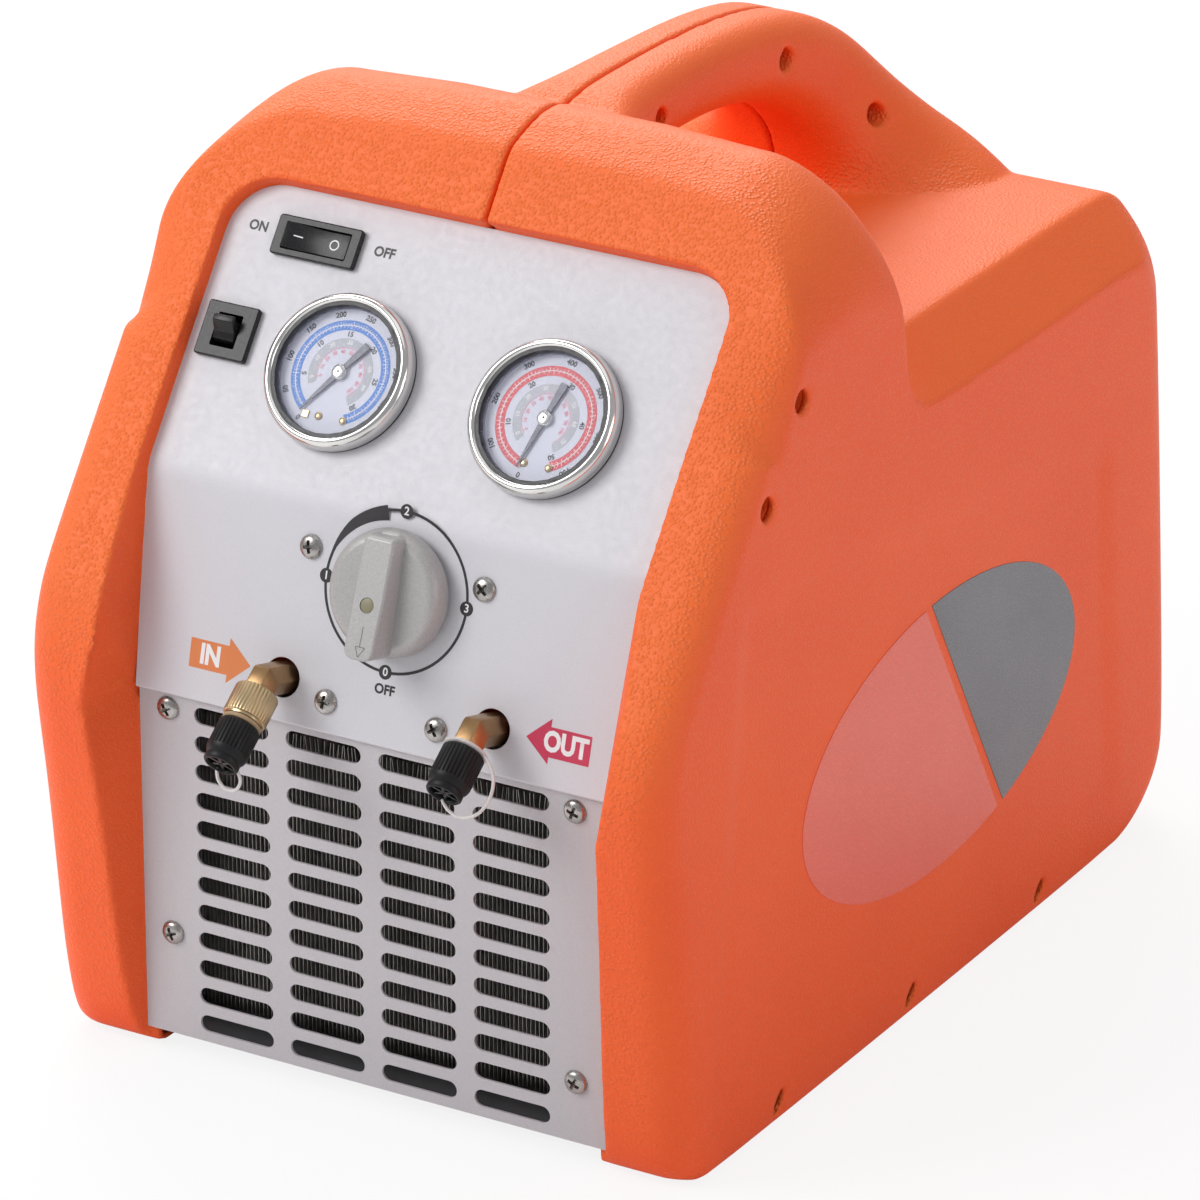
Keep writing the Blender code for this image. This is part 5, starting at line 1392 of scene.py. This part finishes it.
def make_panel_print():
    place = lower_frame(*KNOB_AT)
    black = bmesh.new()
    add_sector(black, RING_RADIUS - 0.5, RING_RADIUS + 0.5, -90.0, 270.0, 0.05, 2.0)
    count = 24
    inner_row, outer_row = [], []
    for index in range(count + 1):
        share = index / count
        clock = -75.0 + 60.0 * share
        inner_radius = RING_RADIUS - 3.4 * share ** 0.9
        outer_radius = RING_RADIUS + 0.4 + 1.3 * min(share * 2.0, 1.0)
        inner_row.append(black.verts.new((*polar(inner_radius, clock), 0.06)))
        outer_row.append(black.verts.new((*polar(outer_radius, clock), 0.06)))
    for index in range(count):
        black.faces.new((inner_row[index], outer_row[index], outer_row[index + 1], inner_row[index + 1]))
    for clock in (0.0, 90.0, 180.0, 270.0):
        centre = polar(RING_RADIUS, clock)
        outline = circle(2.5, 40, centre)
        black.faces.new([black.verts.new((x, y, 0.07)) for x, y in outline])
    add_text(black, "OFF", (0.6, -33.4), 4.7, 0.05, 0.0, 0.17, 0.95)
    place_print("selector_ring_print", black, place, "ink_black")
    white = bmesh.new()
    for digit, clock in (("0", 180.0), ("1", 270.0), ("2", 0.0), ("3", 90.0)):
        add_text(white, digit, polar(RING_RADIUS, clock), 4.0, 0.10, 0.0, 0.08)
    place_print("selector_digits", white, place, "ink_white")

    words = bmesh.new()
    add_text(words, "ON", (-86.4, 87.8), 4.9, 0.05, 0.0, 0.16, 0.95)
    add_text(words, "OFF", (-36.3, 87.8), 4.9, 0.05, 0.0, 0.16, 0.95)
    place_print("switch_words", words, upper_frame(0.0, 0.0), "ink_black")

    place = lower_frame(0.0, 0.0)
    arrows = (
        ("in", "IN", "ink_orange", -64.2, 16.4,
         ((-72.2, 11.4), (-57.0, 11.4), (-57.0, 8.6), (-48.1, 16.3), (-57.2, 24.2), (-57.2, 21.4),
          (-72.4, 21.4))),
        ("out", "OUT", "ink_crimson", 75.2, 15.7,
         ((84.6, 20.8), (68.9, 20.8), (68.9, 23.6), (60.0, 15.8), (69.2, 8.2), (69.2, 10.6), (84.6, 10.6))),
    )
    for name, word, ink, x, level, outline in arrows:
        body = bmesh.new()
        body.faces.new([body.verts.new((a, b, 0.05)) for a, b in outline])
        place_print(name + "_arrow", body, place, ink)
        letters = bmesh.new()
        add_text(letters, word, (x, level), 9.4, 0.09, 0.0, 0.42, 0.84)
        place_print(name + "_arrow_word", letters, place, "ink_white")


# Fittings

def ribbed(profile, steps, low, high, depth):
    """Turned piece with ribs cut between two heights."""
    bm = turned(profile, steps * 4)
    for vertex in bm.verts:
        if low <= vertex.co.z <= high and math.hypot(vertex.co.x, vertex.co.y) > 5.2:
            angle = math.atan2(vertex.co.y, vertex.co.x) * steps / (2.0 * math.pi)
            if round(angle * 4.0) % 4 == 0:
                shrink = 1.0 - depth / math.hypot(vertex.co.x, vertex.co.y)
                vertex.co.x *= shrink
                vertex.co.y *= shrink
    return bm


def make_elbow(name, x, shoulder):
    """Six-sided brass elbow with a mitred bend, behind a round spigot."""
    base = lower_frame(x, PORT_LENGTH_UP).translation
    corner = lower_frame(x, PORT_LENGTH_UP, ELBOW_OUT).translation
    middle_axis = (LOWER_OUT + PORT_AXIS).normalized()
    turn = math.acos(LOWER_OUT.dot(PORT_AXIS))
    radius = 5.9
    across = Vector((1.0, 0.0, 0.0))
    rings = []
    for point, heading, stretch in ((base - LOWER_OUT * 6.0, LOWER_OUT, 1.0),
                                    (corner, middle_axis, 1.0 / math.cos(turn / 2.0)),
                                    (corner + PORT_AXIS * shoulder, PORT_AXIS, 1.0)):
        up = heading.cross(across)
        ring = []
        for index in range(6):
            angle = math.radians(60.0 * index)
            ring.append(point + across * radius * math.cos(angle) + up * radius * stretch * math.sin(angle))
        rings.append(ring)
    elbow = place_mesh(name + "_body", loft(rings))
    bevelled(elbow, 0.5, 2, 20.0)
    baked(elbow)
    spigot = [(0.0, -1.0), (3.6, -1.0), (3.6, 11.0), (2.6, 13.0), (0.0, 13.0)]
    carve(elbow, [place_mesh("add_spigot", turned(spigot, 32), port_frame(x, shoulder))], "UNION")
    shade(elbow.data, True, 25.0)
    finished(elbow, "brass", name)


def make_cap(name, x, start, length, radius, body):
    """Ribbed cap: round shoulder, then a slightly smaller open ring with spokes."""
    place = port_frame(x, 0.0)
    end = start + length
    rib_end = end - 5.2
    ring = radius - 1.1
    profile = [(4.0, start), (radius - 0.7, start), (radius, start + 0.7), (radius, start + 1.4),
               (radius, rib_end - 0.4), (radius - 0.1, rib_end), (radius - 0.3, rib_end + 0.9),
               (radius - 0.9, rib_end + 1.9), (ring - 0.35, rib_end + 2.5), (ring - 0.35, rib_end + 2.9),
               (ring, rib_end + 3.2), (ring, end - 0.6), (ring - 0.5, end), (ring - 1.2, end),
               (ring - 1.5, end - 0.4), (ring - 1.5, end - 3.2), (0.0, end - 3.2), (0.0, end - 4.4),
               (4.0, end - 4.4)]
    cap = place_mesh(name + "_knurled", ribbed(profile, 32, start + 1.3, rib_end - 0.3, 0.45), place)
    shade(cap.data, True, 40.0)
    finished(cap, "black", name, body)
    parts = []
    for angle in (20.0, 80.0, 140.0):
        spoke = box((-(ring - 1.4), -0.55, end - 3.3), (ring - 1.4, 0.55, end - 0.8))
        parts.append(moved(spoke, Matrix.Rotation(math.radians(angle), 4, "Z")))
    spokes = place_mesh(name + "_spokes", merged(parts), place, smooth=False)
    finished(spokes, "gloss_black", body=body)


def make_fittings():
    inlet_x, outlet_x = PORT_XS
    make_elbow("inlet_elbow", inlet_x, 4.4)
    make_elbow("outlet_elbow", outlet_x, 6.3)
    collar = [(4.0, 4.6), (6.7, 4.6), (7.5, 5.0), (7.8, 5.6), (7.8, 15.0), (7.6, 15.6),
              (7.0, 15.9), (6.8, 16.6), (4.0, 16.6)]
    item = place_mesh("inlet_collar_knurled", ribbed(collar, 34, 5.5, 15.2, 0.38), port_frame(inlet_x, 0.0))
    shade(item.data, True, 40.0)
    finished(item, "gold", "inlet_collar", "collar")
    washer = [(4.0, 16.8), (6.7, 16.8), (7.0, 17.1), (7.0, 18.1), (6.7, 18.4), (4.0, 18.4)]
    add_piece("inlet_seal_washer", turned(washer, 48), port_frame(inlet_x, 0.0), "washer",
              "inlet_washer")
    make_cap("inlet_cap", inlet_x, 18.6, 15.8, 7.4, "inlet_cap_body")
    make_cap("outlet_cap", outlet_x, 7.9, 17.0, 7.5, "outlet_cap_body")
    ring = [(4.0, 6.4), (7.3, 6.4), (7.8, 6.7), (7.8, 7.4), (7.3, 7.7), (4.0, 7.7)]
    add_piece("outlet_strap_ring", turned(ring, 48), port_frame(outlet_x, 0.0), "strap",
              "outlet_strap")
    make_strap("outlet_strap_loop", outlet_x, "outlet_cap_body",
               ((7.0, 0.5, 7.1), (10.0, -0.5, 9.5), (13.2, -2.5, 14.0), (13.6, -5.0, 20.0),
                (10.8, -7.0, 25.2), (5.5, -7.6, 27.6), (0.5, -6.6, 26.6), (-2.4, -4.6, 24.2)))
    make_strap("inlet_strap_loop", inlet_x, "inlet_cap_body",
               ((4.4, -3.0, 32.6), (6.2, -5.8, 35.2), (4.6, -8.4, 37.6), (0.6, -9.0, 38.0),
                (-2.6, -7.2, 36.2), (-3.4, -4.0, 33.4)))


def make_strap(name, x, cap_body, points):
    """Thin moulded tether between a port's ring and the end of its cap."""
    path = smooth_path(points, 6)
    place = port_frame(x, 0.0)
    strap = place_mesh(name, tube(path, 0.62, 12), place)
    strap.data.materials.append(MATERIALS["strap"])
    if name.startswith("outlet"):
        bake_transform(strap)
    else:
        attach(strap, cap_body)


# Condenser seen through the slots

FIN_SPACING = 1.65
FIN_WIDTH = 150.0


def make_fins():
    """Thin upright foils, combed a little out of line at the top."""
    count = int(FIN_WIDTH / FIN_SPACING)
    levels = 26
    low, high = 8.0, 127.0
    parts = []
    for index in range(count + 1):
        x = -FIN_WIDTH / 2.0 + index * FIN_SPACING
        rings = []
        for level in range(levels + 1):
            z = low + (high - low) * level / levels
            bent = max(z - 118.0, 0.0) / 9.0
            sway = 0.10 * math.sin(index * 1.7 + z * 0.09)
            sway += bent * 0.9 * math.sin(index * 0.63) + bent * 0.4 * math.sin(index * 2.1)
            rings.append([(x + sway + side * 0.13, y, z)
                          for side, y in ((-1, 12.0), (1, 12.0), (1, 33.6), (-1, 33.6))])
        parts.append(loft(rings))
    fins = place_mesh("condenser_foils", merged(parts), smooth=False)
    finished(fins, "fin", "condenser_fins")


# Side label: a blank two-tone film

LABEL_CENTRE = (174.4, 101.2)
LABEL_HALF = (99.4, 51.2)
LABEL_TURN = math.radians(0.8)
DIVIDER = ((164.0, 152.5), (219.5, 54.5))


def make_label():
    ring = []
    for index in range(144):
        angle = 2.0 * math.pi * index / 144
        point = (LABEL_HALF[0] * math.cos(angle), LABEL_HALF[1] * math.sin(angle))
        across, up = spun(point, LABEL_TURN)
        ring.append((LABEL_CENTRE[0] + across, LABEL_CENTRE[1] + up))
    start, end = (Vector(point) for point in DIVIDER)
    along = (end - start).normalized()
    wall = HALF_WIDTH - FIELD_DEPTH

    def beyond(point):
        offset = Vector(point) - start
        return along.x * offset.y - along.y * offset.x

    halves = (("label_field", "label", [p for p in ring if beyond(p) < 0.0]),
              ("label_sector", "label_dark", [p for p in ring if beyond(p) >= 0.0]))
    for name, key, points in halves:
        jumps = [(Vector(points[index]) - Vector(points[index - 1])).length for index in range(len(points))]
        first = jumps.index(max(jumps))
        outline = points[first:] + points[:first]
        film = place_mesh(name, prism(outline, wall - 0.6, wall + 0.22, "yz"), smooth=False)
        bevelled(film, 0.12, 2, 60.0)
        finished(film, key)


# CAD nodes that keep their own shape

KEPT_FINISH = {
    "low_gauge_case": ("case", 0.2), "high_gauge_case": ("case", 0.2),
    # The chassis tray wears black case paint as painted shade, darkening the machine's inside seen through
    # the lowest grille slots.
    "valve_stem": ("steel", 0.2), "valve_block": ("brass", 1.2), "chassis_tray": ("case", 0.3),
    "power_inlet": ("black", 0.5), "fan_shroud": ("aluminium", 0.3), "condenser_coil": ("copper", 0.0),
    "fan": ("black", 0.2), "fan_motor": ("motor", 0.6), "fan_bracket": ("steel", 0.3),
    "compressor_base": ("motor", 0.5), "compressor_crankcase": ("aluminium", 1.2),
    "compressor_head": ("aluminium", 0.4), "compressor_motor": ("motor", 1.2),
    "run_capacitor": ("aluminium", 0.5),
    "inlet_pipe": ("copper", 0.0), "outlet_pipe": ("copper", 0.0), "suction_pipe": ("copper", 0.0),
    "discharge_pipe": ("copper", 0.0),
}


def dress_kept_nodes():
    for name, (key, width) in KEPT_FINISH.items():
        node = NODES[name]
        dress(node, key)
        weld = node.modifiers.new("weld", "WELD")
        weld.merge_threshold = 0.00001
        if width:
            bevelled(node, width, 3, 35.0)


# Stage: floor, light and camera

CAMERA_AT = (1.29461, -2.21250, 1.25822)
VIEW_AZIMUTH = math.radians(30.4195)
VIEW_ELEVATION = math.radians(23.7831)
LENS = 240.0
SENSOR = 36.0
WORLD_FILL = 0.44
FLOOR_WHITENING = 0.86


def make_camera():
    data = bpy.data.cameras.new("studio_camera")
    data.lens = LENS
    data.sensor_width = SENSOR
    data.sensor_fit = "HORIZONTAL"
    data.clip_start = 0.05
    data.clip_end = 50.0
    camera = added("studio_camera", data)
    right = Vector((math.cos(VIEW_AZIMUTH), math.sin(VIEW_AZIMUTH), 0.0))
    back = Vector((math.cos(VIEW_ELEVATION) * math.sin(VIEW_AZIMUTH),
                   -math.cos(VIEW_ELEVATION) * math.cos(VIEW_AZIMUTH), math.sin(VIEW_ELEVATION)))
    matrix = Matrix((right, back.cross(right), back)).transposed().to_4x4()
    matrix.translation = Vector(CAMERA_AT)
    camera.matrix_world = matrix
    bpy.context.scene.camera = camera


def rays_that_see_white(tree):
    """1 for camera and transmission rays, 0 for the rays that light or are mirrored."""
    path = add_node(tree, "ShaderNodeLightPath")
    join = add_node(tree, "ShaderNodeMath", operation="MAXIMUM")
    tree.links.new(path.outputs["Is Camera Ray"], join.inputs[0])
    tree.links.new(path.outputs["Is Transmission Ray"], join.inputs[1])
    return join.outputs["Value"]


def mix_shaders(tree, share, first, second, output):
    """Blend the first outputs of two shader nodes into the tree's output."""
    mix = add_node(tree, "ShaderNodeMixShader")
    tree.links.new(share, mix.inputs["Fac"])
    tree.links.new(first.outputs[0], mix.inputs[1])
    tree.links.new(second.outputs[0], mix.inputs[2])
    tree.links.new(mix.outputs["Shader"], tree.nodes[output].inputs["Surface"])


def make_world():
    world = bpy.data.worlds.new("studio_world")
    bpy.context.scene.world = world
    world.use_nodes = True
    tree = world.node_tree
    fill = tree.nodes["Background"]
    set_values(fill, {"Color": (0.95, 0.96, 1.0, 1.0), "Strength": WORLD_FILL})
    backdrop = add_node(tree, "ShaderNodeBackground", Color=(1.0, 1.0, 1.0, 1.0), Strength=1.0)
    mix_shaders(tree, rays_that_see_white(tree), fill, backdrop, "World Output")


def make_floor():
    bm = bmesh.new()
    half = 6.0
    corners = ((-half, -half, 0.0), (half, -half, 0.0), (half, half, 0.0), (-half, half, 0.0))
    bm.faces.new([bm.verts.new(corner) for corner in corners])
    mesh = bpy.data.meshes.new("studio_floor")
    bm.to_mesh(mesh)
    bm.free()
    floor = added("studio_floor", mesh)
    material, tree, shader = new_material("studio_floor_white")
    set_values(shader, {"Base Color": (0.93, 0.93, 0.93, 1.0), "Roughness": 0.9,
                        "Specular IOR Level": 0.1})
    glow = add_node(tree, "ShaderNodeEmission", Color=(1.0, 1.0, 1.0, 1.0), Strength=1.0)
    share = add_node(tree, "ShaderNodeMath", operation="MULTIPLY")
    share.inputs[1].default_value = FLOOR_WHITENING
    tree.links.new(rays_that_see_white(tree), share.inputs[0])
    mix_shaders(tree, share.outputs["Value"], shader, glow, "Material Output")
    mesh.materials.append(material)


LAMPS = (
    # name, place, aims at, size, watts, colour
    ("key_softbox", (-1.3, -1.5, 1.65), (0.0, 0.0, 0.15), 1.2, 31.0, (1.0, 0.99, 0.98)),
    ("back_softbox", (-1.3, 1.5, 1.85), (0.0, 0.0, 0.2), 1.8, 50.0, (1.0, 0.99, 0.98)),
    ("top_softbox", (0.2, 0.1, 2.3), (0.0, 0.0, 0.2), 1.4, 4.0, (1.0, 0.99, 0.98)),
    ("side_fill", (2.4, -0.2, 0.8), (0.1, 0.0, 0.12), 1.2, 9.0, (1.0, 0.98, 0.96)),
)


def make_lamps():
    for name, place, target, size, power, color in LAMPS:
        data = bpy.data.lights.new(name, "AREA")
        data.shape = "SQUARE"
        data.size = size
        data.energy = power
        data.color = color
        lamp = added(name, data)
        lamp.location = place
        lamp.rotation_euler = (Vector(target) - Vector(place)).to_track_quat("-Z", "Y").to_euler()


make_shells()
make_screw_wells()
make_handle_screws()
make_control_sheet()
make_grille_sheet()
make_rear_sheet()
make_front_screws()
make_gauges()
make_switches()
make_toggle()
make_knob()
make_panel_print()
make_fittings()
make_fins()
make_label()
dress_kept_nodes()
make_rear_screws()
make_floor()
make_lamps()
make_world()
make_camera()
bpy.context.scene.view_settings.view_transform = "Standard"
